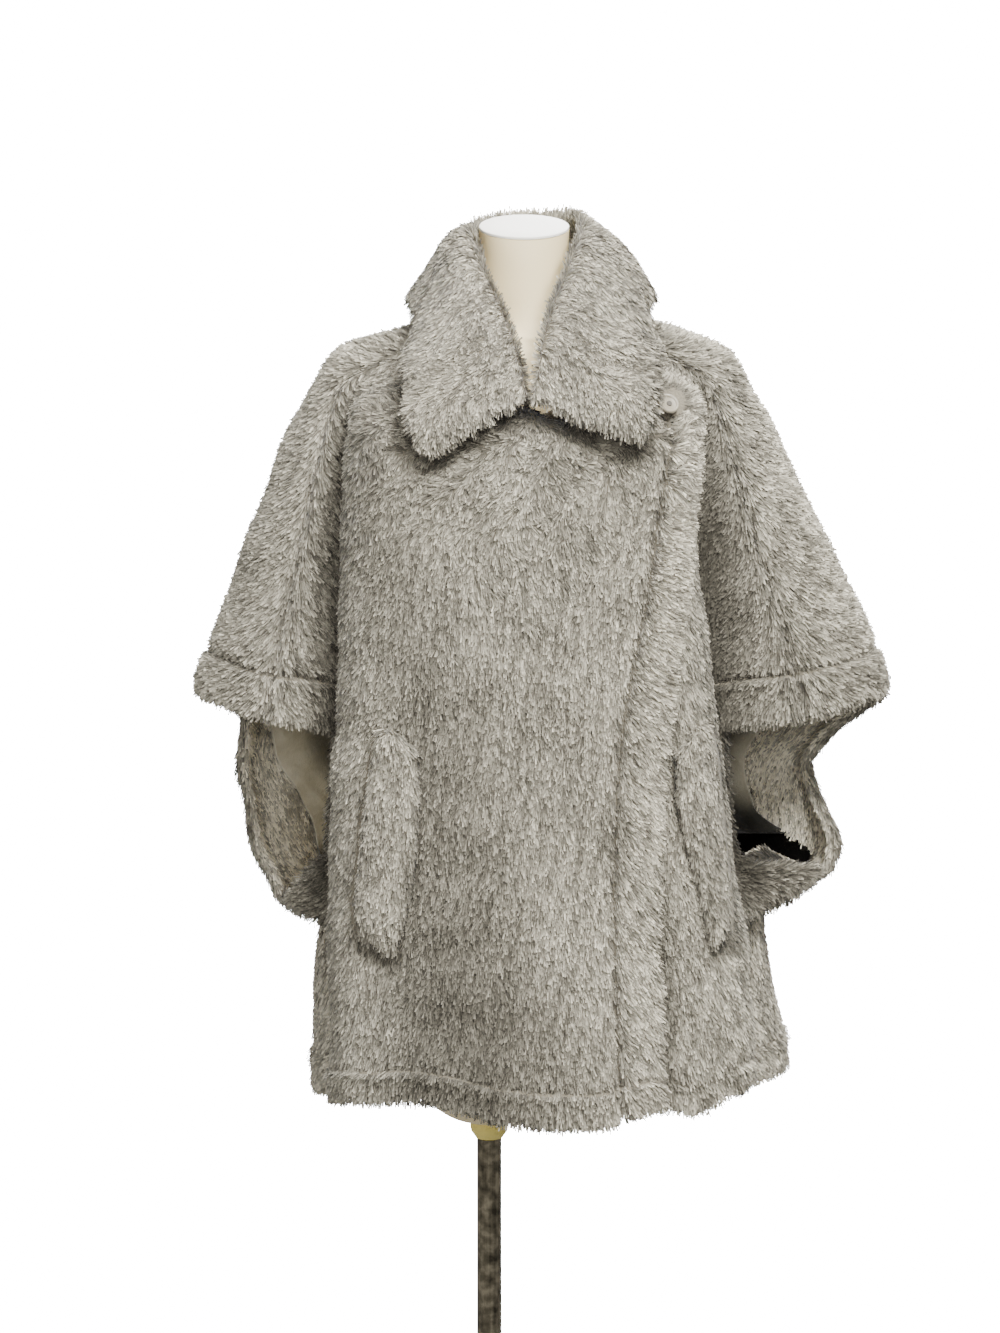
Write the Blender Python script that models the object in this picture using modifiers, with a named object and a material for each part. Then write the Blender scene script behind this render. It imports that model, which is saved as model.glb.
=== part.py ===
"""A wool pile cape coat, worn on a limbless dress form that stands on a pole and a round plate.

Metres, +Z up. The coat's front faces -Y, and the wearer's right is at -X. The origin is the
centre of the plate's underside. Every table below is in millimetres.

The coat is one surface that runs round the body and down it. Its rings go from the neckline
to the hem, and each ring passes the same eleven lines on either side: the centre front, the
crest of the body fold, the valley behind it, the overarm seam, the sleeve's outer fold and
so on to the centre back. The panels are cut from that surface, so their seams meet.
"""

import math

import bmesh
import bpy
import numpy as np
from mathutils import Matrix, Vector

MM = 0.001

# Cloth, millimetres
WALL = 10.0  # pile cloth, backing and pile together
TURNED = 2.5  # more on each face where an edge is turned in and stitched
STITCH_DIP = 2.2  # how far a row of stitching pulls the pile in
RIM = 0.6  # share of the wall's thickness that is left at a rounded rim
SEAM_GAP = 0.6  # between two panels at a seam
UNDERARM_GAP = 2.8  # the same where the seam turns under the arm
LAP_GAP = 3.5  # between the lap and the front under it
SEAT_GAP = 0.8  # under what lies on a panel
LAP_STITCH = 42.0  # from the lap's edge to its stitching
LINING_WALL = 2.0

# Rings of the body, from the neckline to the hem. Heights at the centre front, the crest and
# the centre back, depths at the same places, the x of the centre line, and how far the
# valley behind the crest is tucked in under it.
BODY_COLUMNS = "name z_front z_crest z_back y_front y_crest y_back x_mid tuck"
BODY = (
    ("neckline", 1262, 1322, 1350, -112, -62, 80, 41, -6),
    ("collar edge", 1212, 1296, 1308, -138, -76, 112, 41, -8),
    ("shoulder", 1160, 1258, 1258, -147, -86, 128, 42, 0),
    ("upper arm", 1105, 1188, 1195, -149, -93, 134, 42, 7),
    ("bust", 1050, 1120, 1130, -152, -96, 136, 43, 11),
    ("elbow", 1005, 1060, 1065, -155, -98, 136, 44, 14),
    ("cuff stitching", 976, 1002, 1010, -157, -99, 136, 45, 17),
    ("cuff edge", 945, 953, 965, -159, -100, 136, 46, 17),
    ("slit 1", 912, 918, 925, -161, -100, 136, 46, 16),
    ("slit 2", 880, 885, 890, -163, -100, 137, 47, 14),
    ("slit 3", 850, 853, 855, -165, -100, 138, 47, 12),
    ("slit 4", 822, 824, 822, -168, -101, 140, 48, 10),
    ("slit 5", 797, 799, 795, -171, -102, 142, 48, 9),
    ("underarm", 775, 776, 772, -173, -102, 144, 49, 8),
    ("below the arm", 752, 752, 748, -176, -102, 146, 50, 7),
    ("skirt", 695, 694, 690, -184, -104, 150, 51, 7),
    ("hem stitching", 648, 650, 634, -190, -106, 154, 52, 7),
    ("hem edge", 612, 615, 597, -193, -106, 156, 52, 6),
)

# The sides of the same rings: height and x of the outer fold, x of the crest, and the depths
# of the overarm seam, the outer fold and the back of the sleeve.
SIDE_COLUMNS = "z_out x_crest x_out y_seam y_out y_wing"
RIGHT_SIDE = (
    (1350, -12, -30, -15, 5, 30),
    (1334, -54, -76, -28, 5, 45),
    (1311, -125, -145, -48, 5, 55),
    (1252, -133, -183, -60, 5, 62),
    (1177, -134, -213, -66, 4, 68),
    (1101, -136, -241, -68, 2, 72),
    (1027, -137, -267, -68, 0, 76),
    (988, -141, -279, -66, 0, 80),
    (952, -144, -238, -62, 46, 94),
    (904, -146, -243, -60, 50, 98),
    (868, -147, -238, -60, 50, 98),
    (831, -148, -230, -60, 44, 96),
    (800, -149, -218, -58, 34, 90),
    (774, -150, -199, -52, 16, 78),
    (784, -150, -162, -40, 12, 66),
    (700, -149, -170, -40, 20, 80),
    (636, -149, -172, -40, 24, 86),
    (592, -149, -173, -40, 24, 88),
)
LEFT_SIDE = (
    (1350, 94, 112, -15, 5, 30),
    (1339, 136, 158, -28, 5, 45),
    (1313, 184, 226, -48, 5, 55),
    (1252, 190, 261, -60, 5, 62),
    (1177, 194, 299, -66, 4, 68),
    (1101, 201, 336, -68, 2, 72),
    (1030, 208, 369, -68, 0, 76),
    (990, 213, 380, -66, 0, 80),
    (945, 218, 342, -60, 34, 88),
    (908, 222, 314, -58, 48, 92),
    (875, 225, 323, -58, 22, 84),
    (842, 229, 334, -58, 2, 80),
    (816, 232, 331, -58, 2, 78),
    (797, 236, 308, -52, 8, 74),
    (818, 239, 262, -40, 12, 66),
    (722, 241, 272, -40, 22, 80),
    (656, 243, 288, -40, 26, 86),
    (616, 244, 294, -40, 26, 88),
)

# Lines round a ring, counted from the centre front. The left side counts up, the right down.
CREST, VALLEY, OVERARM, OUTER, BACK_MID = 3, 4, 5, 7, 11
LINES_ROUND = 2 * BACK_MID
CUFF, UNDERARM, HEM = 7, 13, 17  # rings
HOOK = 4.35  # where the cut edge hides behind the body fold

# Large soft folds: line, ring where it starts, ring where it is fullest, half width in
# lines, and how far it stands out (or in, if negative).
FOLDS = (
    ("right front hollow", -1.5, 9.0, 16.0, 0.9, -9),
    ("front swell", 0.7, 9.0, 16.0, 1.2, 9),
    ("left front swell", 2.5, 11.0, 16.0, 0.6, 6),
    ("right back flute", -9.6, 5.0, 16.0, 0.7, 10),
    ("right back hollow", -8.4, 4.0, 12.0, 0.6, -8),
    ("left back flute", 9.7, 5.0, 16.0, 0.7, 11),
    ("left back hollow", 8.5, 4.0, 12.0, 0.6, -8),
    ("centre back flute", 11.2, 7.0, 17.0, 0.6, 8),
)
# Where the hem dips or lifts: line, half width in lines, and height.
HEM_WAVES = (
    ("below the right pocket", -1.9, 1.0, 12),
    ("right of the centre", -0.95, 0.85, 19),
    ("lap corner", 0.9, 0.5, 14),
    ("left of the lap", 2.5, 1.1, 17),
    ("left back", 9.0, 1.2, -8),
    ("right back", -9.4, 1.1, 9),
)

# The lap's edge: ring and x.
LAP_EDGE = (
    (1.3, 174), (2, 177), (3, 174), (4, 169), (5, 164), (6, 161), (8, 157), (10, 155),
    (12, 154), (15, 157), (17, 161),
)  # fmt: skip
LAP_TOP = 1.3  # ring that the lap's top edge meets at its corner

# The cut edge under each arm: ring, and the line that the front panel reaches on each side.
ARM_EDGE = (
    (7.0, HOOK, HOOK),
    (10.5, HOOK, HOOK),
    (11.0, 4.6, 4.5),
    (11.5, 4.8, 5.6),
    (12.0, 5.2, 6.2),
    (12.5, 5.9, 6.4),
    (13.0, 6.6, 6.6),
    (14.0, 5.6, 5.6),
    (15.0, HOOK, HOOK),
    (17.0, HOOK, HOOK),
)

# The collar, from its front end to the centre back: share of the way round, then the roll
# line, the middle of the fall and its outer edge, each as distance from the mid line, y, z.
COLLAR_COLUMNS = "way roll_mid roll_x roll_y roll_z mid_x mid_y mid_z edge_x edge_y edge_z"
COLLAR = (
    (1.00, 38, 6, -126, 1271, 48, -146, 1250, 93, -146, 1222),
    (0.86, 36, 17, -106, 1326, 66, -132, 1296, 114, -112, 1256),
    (0.62, 34, 43, -58, 1396, 88, -72, 1354, 113, -66, 1290),
    (0.40, 35, 51, -6, 1422, 90, -6, 1388, 106, 0, 1336),
    (0.20, 42, 40, 44, 1433, 70, 76, 1403, 80, 106, 1326),
    (0.00, 45, 0, 62, 1436, 0, 104, 1408, 0, 142, 1314),
)
FALL_MID_X = 41  # the middle of the fall
COLLAR_SPREAD = {-1: 1.0, 1: 1.03}  # the left side spreads a little more than the right
COLLAR_LIFT = {-1: -1.0, 1: 5.0}  # and stands higher behind the neck
COLLAR_REST = 17.5  # from the panel's face to the middle of the fall's edge
COLLAR_HALF = 8.0  # half the thickness of the fall, two layers of cloth
COLLAR_BASE = 1.8  # from the neckline's middle to the collar's lower edge

# Pocket welts: height and x at the outer edge, then at the inner edge, from top to bottom.
POCKETS = {
    "right": (
        (970, -104, 954, -63),
        (936, -111, 914, -62),
        (896, -118, 874, -64),
        (856, -122, 835, -68),
        (814, -127, 799, -75),
        (786, -122, 765, -85),
    ),
    "left": (
        (976, 204, 950, 171),
        (940, 212, 912, 171),
        (900, 216, 876, 178),
        (858, 220, 838, 188),
        (818, 224, 800, 197),
        (788, 224, 770, 205),
    ),
}
POCKET_PUFF, POCKET_RIM = 11.0, 4.0

# The dress form: height, half width, half depth, x, y
FORM = (
    (1421, 42, 41, 33, 0),
    (1395, 41.5, 41.5, 33, 1),
    (1368, 42, 42, 33, 2),
    (1350, 42, 42, 34, 2),
    (1338, 43.5, 43, 36, 2),
    (1328, 48.5, 44.5, 38.5, 3.5),
    (1320, 70, 44, 39.9, 8),
    (1315, 98, 40, 40.6, 12),
    (1308, 120, 38, 40, 14),
    (1297, 137, 42, 40, 12),
    (1281, 149, 56, 40, 6),
    (1255, 156, 78, 38, -2),
    (1215, 158, 92, 36, -4),
    (1150, 150, 106, 33, -8),
    (1100, 144, 110, 30, -8),
    (1040, 130, 98, 26, -4),
    (985, 120, 90, 23, 0),
    (915, 132, 100, 18, 2),
    (840, 146, 112, 14, 3),
    (770, 146, 114, 10, 3),
    (700, 136, 108, 6, 2),
    (645, 112, 92, 3, 1),
    (605, 80, 72, 1, 0),
    (583, 58, 55, 0, 0),
    (571, 40, 40, 0, 0),
    (566.5, 28, 28, 0, 0),
)
CAP_TILT = math.radians(14)
CAP_THICK = 3.0

# The stand
PLATE_RADIUS, PLATE_THICK = 150.0, 10.0
POLE_RADIUS, POLE_TOP = 12.0, 551.0
SOCKET = ((566.0, 16.5), (560.0, 18.5), (553.0, 17.5), (547.0, 13.4))  # height, radius

BUTTON_PLACE = (160, 1267)  # x and z on the lap
BUTTON_RADIUS, BUTTON_THICK, BUTTON_HOLE, BUTTON_PITCH = 9.8, 3.6, 1.0, 2.3

COLOURS = {
    "pile": (0.40, 0.38, 0.34, 0.95, 0.0),
    "satin": (0.20, 0.19, 0.15, 0.45, 0.0),
    "horn": (0.50, 0.45, 0.36, 0.35, 0.0),
    "form": (0.80, 0.76, 0.68, 0.5, 0.0),
    "cap": (0.88, 0.86, 0.80, 0.5, 0.0),
    "socket": (0.55, 0.50, 0.30, 0.5, 0.0),
    "steel": (0.12, 0.11, 0.09, 0.4, 0.8),
    "plate": (0.25, 0.25, 0.25, 0.45, 0.6),
}


# ---------------------------------------------------------------- numbers


def columns(names, rows):
    """A table as named arrays. A first column of words is left out."""
    width = len(rows[0])
    keys = names.split()[-width:]
    table = {key: [row[at] for row in rows] for at, key in enumerate(keys)}
    return {k: np.array(v, float) for k, v in table.items() if k != "name"}


def glide(at, x, y):
    """Smooth curve through the points (x, y) that never overshoots them, read at `at`."""
    x, y = np.asarray(x, float), np.asarray(y, float)
    step, rise = np.diff(x), np.diff(y)
    slope = rise / step
    weight = 2 * step[1:] + step[:-1], step[1:] + 2 * step[:-1]
    same = slope[1:] * slope[:-1] > 0
    safe = np.where(same, slope[1:] * slope[:-1], 1.0)
    mean = (weight[0] + weight[1]) * safe / (weight[0] * slope[1:] + weight[1] * slope[:-1] + ~same)
    turn = np.concatenate([[slope[0]], np.where(same, mean, 0.0), [slope[-1]]])
    at = np.clip(at, x[0], x[-1])
    i = np.clip(np.searchsorted(x, at, side="right") - 1, 0, len(step) - 1)
    t = (at - x[i]) / step[i]
    ends = y[i] * (1 + 2 * t) * (1 - t) ** 2 + y[i + 1] * t * t * (3 - 2 * t)
    return ends + step[i] * (turn[i] * t * (1 - t) ** 2 - turn[i + 1] * t * t * (1 - t))


def swell(x):
    """A bump that is 1 at 0 and fades to 0 at -1 and 1."""
    return np.where(np.abs(x) < 1, (1 - np.minimum(x * x, 1)) ** 2, 0.0)


def ease(x):
    """From 0 to 1 as x does, flat at both ends."""
    x = np.clip(x, 0, 1)
    return x * x * (3 - 2 * x)


def unit(v):
    return v / np.maximum(np.linalg.norm(v, axis=-1, keepdims=True), 1e-12)


def closed_curve(points, per_line):
    """Smooth closed curve through rings of points (rings, lines, 3), as samples along it."""
    ahead, behind = np.roll(points, -1, 1) - points, points - np.roll(points, 1, 1)
    far = np.sqrt(np.linalg.norm(ahead, axis=-1, keepdims=True))
    near = np.sqrt(np.linalg.norm(behind, axis=-1, keepdims=True))
    turn = (ahead / far * near + behind / near * far) / (far + near)
    t = (np.arange(per_line) / per_line)[None, None, :, None]
    a, b = points[:, :, None], np.roll(points, -1, 1)[:, :, None]
    go, come = (turn * far)[:, :, None], (np.roll(turn, -1, 1) * far)[:, :, None]
    curve = a * (1 + 2 * t) * (1 - t) ** 2 + b * t * t * (3 - 2 * t)
    curve = curve + go * t * (1 - t) ** 2 - come * t * t * (1 - t)
    return curve.reshape(len(points), -1, 3)


# ---------------------------------------------------------------- the coat's surface

PER_RING, PER_LINE = 12, 20  # samples of the surface between two rings, and two lines


def side_lines(body, side):
    """The ten lines between the centre front and the centre back on one side."""
    b, s = body, side
    reach, drop = s["x_out"] - s["x_crest"], s["z_out"] - b["z_crest"]
    half, deep = s["x_crest"] - b["x_mid"], b["y_front"] - b["y_crest"]
    rise = b["z_crest"] - b["z_front"]
    hang = b["z_back"] - s["z_out"]
    hand = np.sign(reach)
    bow = [math.sin(math.radians(a)) ** 0.8 for a in (30, 60)]
    lean = [math.cos(math.radians(a)) ** 0.8 for a in (30, 60)]
    lines = [
        (b["x_mid"] + half * f, b["y_crest"] + deep * g, b["z_front"] + rise * f**2.2)
        for f, g in zip(bow, lean)
    ]
    lines.append((s["x_crest"], b["y_crest"], b["z_crest"]))
    lines.append((s["x_crest"] - hand * b["tuck"], b["y_crest"] + 30, b["z_crest"] + 0.06 * drop))
    lines.append((s["x_crest"] + 0.48 * reach, s["y_seam"], b["z_crest"] + 0.48 * drop))
    fore = 0.6 * s["y_seam"] + 0.4 * s["y_out"]
    lines.append((s["x_crest"] + 0.86 * reach, fore, b["z_crest"] + 0.86 * drop))
    lines.append((s["x_out"], s["y_out"], s["z_out"]))
    aft = 0.55 * s["y_wing"] + 0.45 * s["y_out"]
    lines.append((s["x_crest"] + 0.90 * reach, aft, s["z_out"] + 0.12 * hang))
    lines.append((s["x_crest"] + 0.35 * reach, s["y_wing"], s["z_out"] + 0.45 * hang))
    wide = 0.35 * s["y_wing"] + 0.65 * b["y_back"]
    lines.append((b["x_mid"] + 0.72 * half, wide, s["z_out"] + 0.85 * hang))
    return np.stack([np.stack(line, -1) for line in lines], 1)


def coat_surface():
    """Points and outward directions of the cloth's middle, (rings, lines, 3) in mm."""
    rings = np.arange((HEM * PER_RING) + 1) / PER_RING
    knots = np.arange(HEM + 1)
    body = {k: glide(rings, knots, v) for k, v in columns(BODY_COLUMNS, BODY).items()}
    sides = [
        {k: glide(rings, knots, v) for k, v in columns(SIDE_COLUMNS, rows).items()}
        for rows in (LEFT_SIDE, RIGHT_SIDE)
    ]
    front = np.stack([body["x_mid"], body["y_front"], body["z_front"]], -1)[:, None]
    back = np.stack([body["x_mid"], body["y_back"], body["z_back"]], -1)[:, None]
    left, right = (side_lines(body, side) for side in sides)
    round_body = np.concatenate([front, left, back, right[:, ::-1]], 1)
    points = closed_curve(round_body, PER_LINE)
    lines = np.arange(points.shape[1]) / PER_LINE
    outward = surface_normals(points)
    points = points - outward * WALL / 2
    for _, line, start, full, width, depth in FOLDS:
        away = (lines - line + BACK_MID) % LINES_ROUND - BACK_MID
        grow = ease((rings - start) / (full - start))
        points = points + outward * (depth * swell(away / width)[None] * grow[:, None])[..., None]
    for _, line, width, height in HEM_WAVES:
        away = (lines - line + BACK_MID) % LINES_ROUND - BACK_MID
        grow = ease((rings - UNDERARM) / (HEM - UNDERARM))
        points[..., 2] += height * swell(away / width)[None] * grow[:, None]
    return points, surface_normals(points)


def surface_normals(points):
    """Outward directions: across the way round and the way down."""
    around = np.roll(points, -1, 1) - np.roll(points, 1, 1)
    down = np.gradient(points, axis=0)
    return unit(np.cross(down, around))


SURFACE, OUTWARD = coat_surface()


def on_coat(line, ring):
    """Point and outward direction of the cloth's middle at each line and ring."""
    line, ring = np.broadcast_arrays(line, ring)
    x = np.mod(line, LINES_ROUND) * PER_LINE
    y = np.clip(ring, 0, HEM) * PER_RING
    x0, y0 = np.floor(x).astype(int), np.minimum(np.floor(y).astype(int), HEM * PER_RING - 1)
    fx, fy = (x - x0)[..., None], (y - y0)[..., None]
    width = SURFACE.shape[1]

    def read(field):
        low = field[y0, x0 % width] * (1 - fx) + field[y0, (x0 + 1) % width] * fx
        high = field[y0 + 1, x0 % width] * (1 - fx) + field[y0 + 1, (x0 + 1) % width] * fx
        return low * (1 - fy) + high * fy

    return read(SURFACE), unit(read(OUTWARD))


def lines_inward(ring, x, insets):
    """Lines on the left front: the one that passes x at this ring, and those set in from it."""
    fine = np.linspace(0, CREST, 61)
    points = on_coat(fine, ring)[0]
    steps = np.linalg.norm(np.diff(points, axis=0), axis=1)
    length = np.concatenate([[0], np.cumsum(steps)])
    return np.interp(np.interp(x, points[:, 0], length) - np.array(insets), length, fine)


def front_place(x, z, lift):
    """(line, ring) of the point on the fronts that, moved out this far, shows at x and z."""
    span = CREST * PER_LINE + 6
    at = np.arange(-span, span + 1)
    part = SURFACE[:, at] + OUTWARD[:, at] * lift
    gap = (part[..., 0] - x) ** 2 + (part[..., 2] - z) ** 2
    ring, line = np.unravel_index(np.argmin(gap), gap.shape)
    return at[line] / PER_LINE, ring / PER_RING


# ---------------------------------------------------------------- building solids


def material(name):
    red, green, blue, rough, metal = COLOURS[name]
    made = bpy.data.materials.get(name) or bpy.data.materials.new(name)
    made.use_nodes = True
    shader = made.node_tree.nodes["Principled BSDF"]
    shader.inputs["Base Color"].default_value = (red, green, blue, 1)
    shader.inputs["Roughness"].default_value = rough
    shader.inputs["Metallic"].default_value = metal
    return made


def collection(name, hidden=False):
    made = bpy.data.collections.get(name)
    if not made:
        made = bpy.data.collections.new(name)
        bpy.context.scene.collection.children.link(made)
        made.hide_render = hidden
    return made


def add_object(name, mesh, finish):
    """Puts a mesh in the model as one smooth-shaded object."""
    mesh.materials.append(material(finish))
    mesh.shade_smooth()
    mesh.set_sharp_from_angle(angle=math.radians(50))
    made = bpy.data.objects.new(name, mesh)
    collection("cape_coat").objects.link(made)
    return made


def mesh_of(name, points_mm, faces):
    """Mesh from points and faces, its faces turned outwards."""
    mesh = bpy.data.meshes.new(name)
    mesh.from_pydata((np.asarray(points_mm) * MM).tolist(), [], faces)
    work = bmesh.new()
    work.from_mesh(mesh)
    bmesh.ops.delete(work, geom=[v for v in work.verts if not v.link_faces], context="VERTS")
    bmesh.ops.recalc_face_normals(work, faces=work.faces)
    work.to_mesh(mesh)
    work.free()
    return mesh


def wall(name, outer, inner, present, finish):
    """A closed wall between two grids of points. A cell is built where present is true."""
    rows, cols = present.shape
    index = np.arange((rows + 1) * (cols + 1)).reshape(rows + 1, cols + 1)
    under = index + index.size
    framed = np.pad(present, 1)
    faces = []
    for r, c in zip(*np.nonzero(present)):
        ring = [(r, c), (r, c + 1), (r + 1, c + 1), (r + 1, c)]
        for half in (ring[:3], [ring[0], ring[2], ring[3]]):
            faces.append([int(index[k]) for k in half])
            faces.append([int(under[k]) for k in reversed(half)])
        beside = [framed[r, c + 1], framed[r + 1, c + 2], framed[r + 2, c + 1], framed[r + 1, c]]
        for edge in range(4):
            if not beside[edge]:
                a, b = ring[edge], ring[(edge + 1) % 4]
                faces.append([int(k) for k in (index[b], index[a], under[a], under[b])])
    points = np.concatenate([outer.reshape(-1, 3), inner.reshape(-1, 3)])
    return add_object(name, mesh_of(name, points, faces), finish)


def loft(name, rings, finish):
    """A closed solid through rings of equal point counts, with a flat cap at both ends."""
    rings = np.asarray(rings)
    count, around = rings.shape[:2]
    faces = []
    for r in range(count - 1):
        for c in range(around):
            d = (c + 1) % around
            faces.append([r * around + c, r * around + d, (r + 1) * around + d, (r + 1) * around + c])
    faces.append(list(range(around)))
    faces.append(list(range((count - 1) * around, count * around))[::-1])
    return add_object(name, mesh_of(name, rings.reshape(-1, 3), faces), finish)


def turned(name, profile, finish, steps=32):
    """A turned solid: (height, radius) from the top down, closed on the axis."""
    ends = [(profile[0][0], 0.0)] + list(profile) + [(profile[-1][0], 0.0)]
    mesh = bpy.data.meshes.new(name)
    points = [(radius * MM, 0, height * MM) for height, radius in ends]
    mesh.from_pydata(points, [(i, i + 1) for i in range(len(points) - 1)], [])
    made = add_object(name, mesh, finish)
    screw = made.modifiers.new("turn", "SCREW")
    screw.steps = screw.render_steps = steps
    screw.use_merge_vertices = True
    screw.merge_threshold = 0.0001
    return made


# ---------------------------------------------------------------- panels

BACK_STOPS = (7, 7.12, 7.4, 7.75, 7.85, 8.3, 8.8, 9.3, 9.8, 10.4)
RING_STOPS = np.array(
    [0, 0.45, 1, 1.6, 2.2, 3, 3.8, 4.6, 5.4, 5.86, 6, 6.14, 6.9, 7]
    + [7.35, 8, 8.7, 9.4, 10, 10.5, 11, 11.5, 12, 12.5, 13, 13.4, 14, 15, 15.84]
    + [16, 16.16, 16.88, 17]
)


def arm_reach(ring, hand):
    """The line that a front panel reaches on the right (-1) or the left (1)."""
    rings, right, left = zip(*ARM_EDGE)
    return np.interp(ring, rings, left if hand > 0 else right)


def hem_thickness(ring):
    """What the turned hem adds to each face, less where it is stitched and at its rim."""
    add = np.where(ring > 16.1, TURNED, 0.0)
    add = np.where(np.isclose(ring, 16), -STITCH_DIP, add)
    return np.where(np.isclose(ring, HEM), (RIM - 1) * WALL / 2, add)


def cuff_thickness(ring):
    """The same for the front cuff, on the sleeve only."""
    add = np.where((ring > 6.1) & (ring < 6.95), TURNED, 0.0)
    add = np.where(np.isclose(ring, 6), -STITCH_DIP, add)
    return np.where(np.isclose(ring, CUFF), (RIM - 1) * WALL / 2, add)


def gap_in_lines(line, ring, gap):
    """How many lines a gap in mm takes at this place."""
    a, b = on_coat(line - 0.05, ring)[0], on_coat(line + 0.05, ring)[0]
    return 0.1 * gap / np.linalg.norm(b - a, axis=-1)


def panel(name, line, ring, more_out, more_in, sunk, present):
    """A panel of cloth over grids of lines and rings, with its thickness at each point."""
    middle, outward = on_coat(line, ring)
    outer = middle + outward * (WALL / 2 + more_out - sunk)[..., None]
    inner = middle - outward * (WALL / 2 + more_in + sunk)[..., None]
    return wall(name, outer, inner, present, "pile")


def front_lines(hand, inner_stops):
    """Lines of a front panel for each ring, from its inner edge to the overarm seam."""
    ring = RING_STOPS[:, None]
    body = hand * np.array([0.35, 0.7, 1, 1.35, 1.7, 2, 2.3, 2.6, 2.8, 3, 3.2, 3.5, 3.75, 4.0])
    reach = arm_reach(RING_STOPS, hand)
    hook = hand * (4 + (reach[:, None] - 4) * np.array([0.34, 0.67, 1.0]))
    seam = OVERARM - gap_in_lines(hand * OVERARM, RING_STOPS, SEAM_GAP / 2)
    sleeve = hand * (HOOK + (seam[:, None] - HOOK) * np.array([0.3, 0.6, 0.93, 1.0]))
    body = np.broadcast_to(body, (len(ring), len(body)))
    return np.concatenate([inner_stops, body, hook, sleeve], 1)


def front_present(lines_count, sleeve_count=4):
    """Cells of a front panel: all but the sleeve below the cuff."""
    present = np.ones((len(RING_STOPS) - 1, lines_count - 1), bool)
    present[RING_STOPS[:-1] >= CUFF, lines_count - 1 - sleeve_count :] = False
    return present


def front_thickness(line, ring):
    """What stitching, turned edges and seams add to a front panel's faces."""
    add = np.broadcast_to(hem_thickness(ring), line.shape).copy()
    cuff = np.broadcast_to(cuff_thickness(ring), line.shape)
    on_sleeve = np.abs(line) > 4.2
    add = np.where(on_sleeve & (ring < 7.1), cuff, add)
    add[:, -1] = np.minimum(add[:, -1], -1.5)
    return add


def lap_lift(line):
    """How far the lap stands out over the left front. It is level with it at the centre."""
    return (WALL + LAP_GAP) * ease((line - 0.8) / 1.0)


def front_right():
    """The right front with its lap over the left front."""
    rings, xs = zip(*LAP_EDGE)
    low = np.where(RING_STOPS < 3, LAP_TOP + RING_STOPS * (3 - LAP_TOP) / 3, RING_STOPS)
    edge_x = glide(low, rings, xs)
    inset = (0, 4, 14, 26, LAP_STITCH - 2.5, LAP_STITCH, LAP_STITCH + 2.5)
    lap = np.array([lines_inward(r, x, inset) for r, x in zip(low, edge_x)])
    shares = np.array([0.72, 0.4, 0.0])
    line = front_lines(-1, np.concatenate([lap, lap[:, -1:] * shares], 1))
    top = LAP_TOP * np.clip(line / lap[:, :1], 0, 1) ** 0.8
    ring = np.broadcast_to(RING_STOPS[:, None], line.shape)
    ring = np.where(ring < 3, top + ring * (3 - top) / 3, ring)
    add = front_thickness(line, RING_STOPS[:, None])
    add[:, 1:5] = np.maximum(add[:, 1:5], TURNED)
    add[:, 5] = -STITCH_DIP
    add[0, :7] = add[:, 0] = add[-1, :] = (RIM - 1) * WALL / 2
    present = front_present(line.shape[1])
    return panel("front_right", line, ring, add, np.minimum(add, 0), -lap_lift(line), present)


def front_left():
    """The left front, which lies under the lap as far as the centre."""
    inner = np.broadcast_to([-0.35, 0.0], (len(RING_STOPS), 2))
    line = front_lines(1, inner)
    ring = np.broadcast_to(RING_STOPS[:, None], line.shape)
    add = front_thickness(line, ring)
    add = np.where(line < 2.2, np.minimum(add, 0), add)
    sunk = WALL + LAP_GAP - lap_lift(line)
    present = front_present(line.shape[1])
    return panel("front_left", line, ring, add, np.minimum(add, 0), sunk, present)


def back():
    """The back with the back halves of both sleeves."""
    ring = RING_STOPS
    halves = []
    for hand in (1, -1):
        over = OVERARM + gap_in_lines(hand * OVERARM, ring, SEAM_GAP / 2)
        under = arm_reach(ring, hand)
        under = under + gap_in_lines(hand * under, ring, UNDERARM_GAP)
        start = np.where(ring <= CUFF, over, under)[:, None]
        edge_part = start + (OUTER - start) * np.array([0, 0.05, 0.35, 0.7])
        rest = np.broadcast_to(BACK_STOPS, (len(ring), len(BACK_STOPS)))
        halves.append(hand * np.concatenate([edge_part, rest], 1))
    middle = np.full((len(ring), 1), float(BACK_MID))
    line = np.concatenate([halves[0], middle, LINES_ROUND + halves[1][:, ::-1]], 1)
    ring = np.broadcast_to(ring[:, None], line.shape)
    present = np.ones((line.shape[0] - 1, line.shape[1] - 1), bool)
    open_rings = (RING_STOPS[:-1] >= CUFF) & (RING_STOPS[:-1] < UNDERARM)
    present[open_rings, :4] = present[open_rings, -4:] = False
    side = np.minimum(line, LINES_ROUND - line)
    add = hem_thickness(ring).copy()
    add = np.where((side < OUTER + 0.9) & (ring <= CUFF), cuff_thickness(ring), add)
    slit = (ring > CUFF) & (ring < UNDERARM)
    band = slit & (side < 7.8)
    add = np.where(band, TURNED, add)
    add = np.where(slit & (side < 7.05), (RIM - 1) * WALL / 2, add)
    add[:, 0] = add[:, -1] = np.minimum(add[:, 0], -1.5)
    more_in = np.where(band & (side > 7.05), TURNED, np.minimum(add, 0))
    return panel("back", line, ring, add, more_in, 0 * add, present)


def sleeve_lining(name, hand):
    """Satin on the inside of the back of a sleeve, from the turned cuff to the body."""
    line = np.sort(hand * np.array(BACK_STOPS[5:9]))[None]
    ring = RING_STOPS[(RING_STOPS > 4.5) & (RING_STOPS < 12.3)][:, None]
    middle, outward = on_coat(line, ring)
    outer = middle - outward * (WALL / 2 + SEAT_GAP)
    present = np.ones((outer.shape[0] - 1, outer.shape[1] - 1), bool)
    return wall(name, outer, outer - outward * LINING_WALL, present, "satin")


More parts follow.
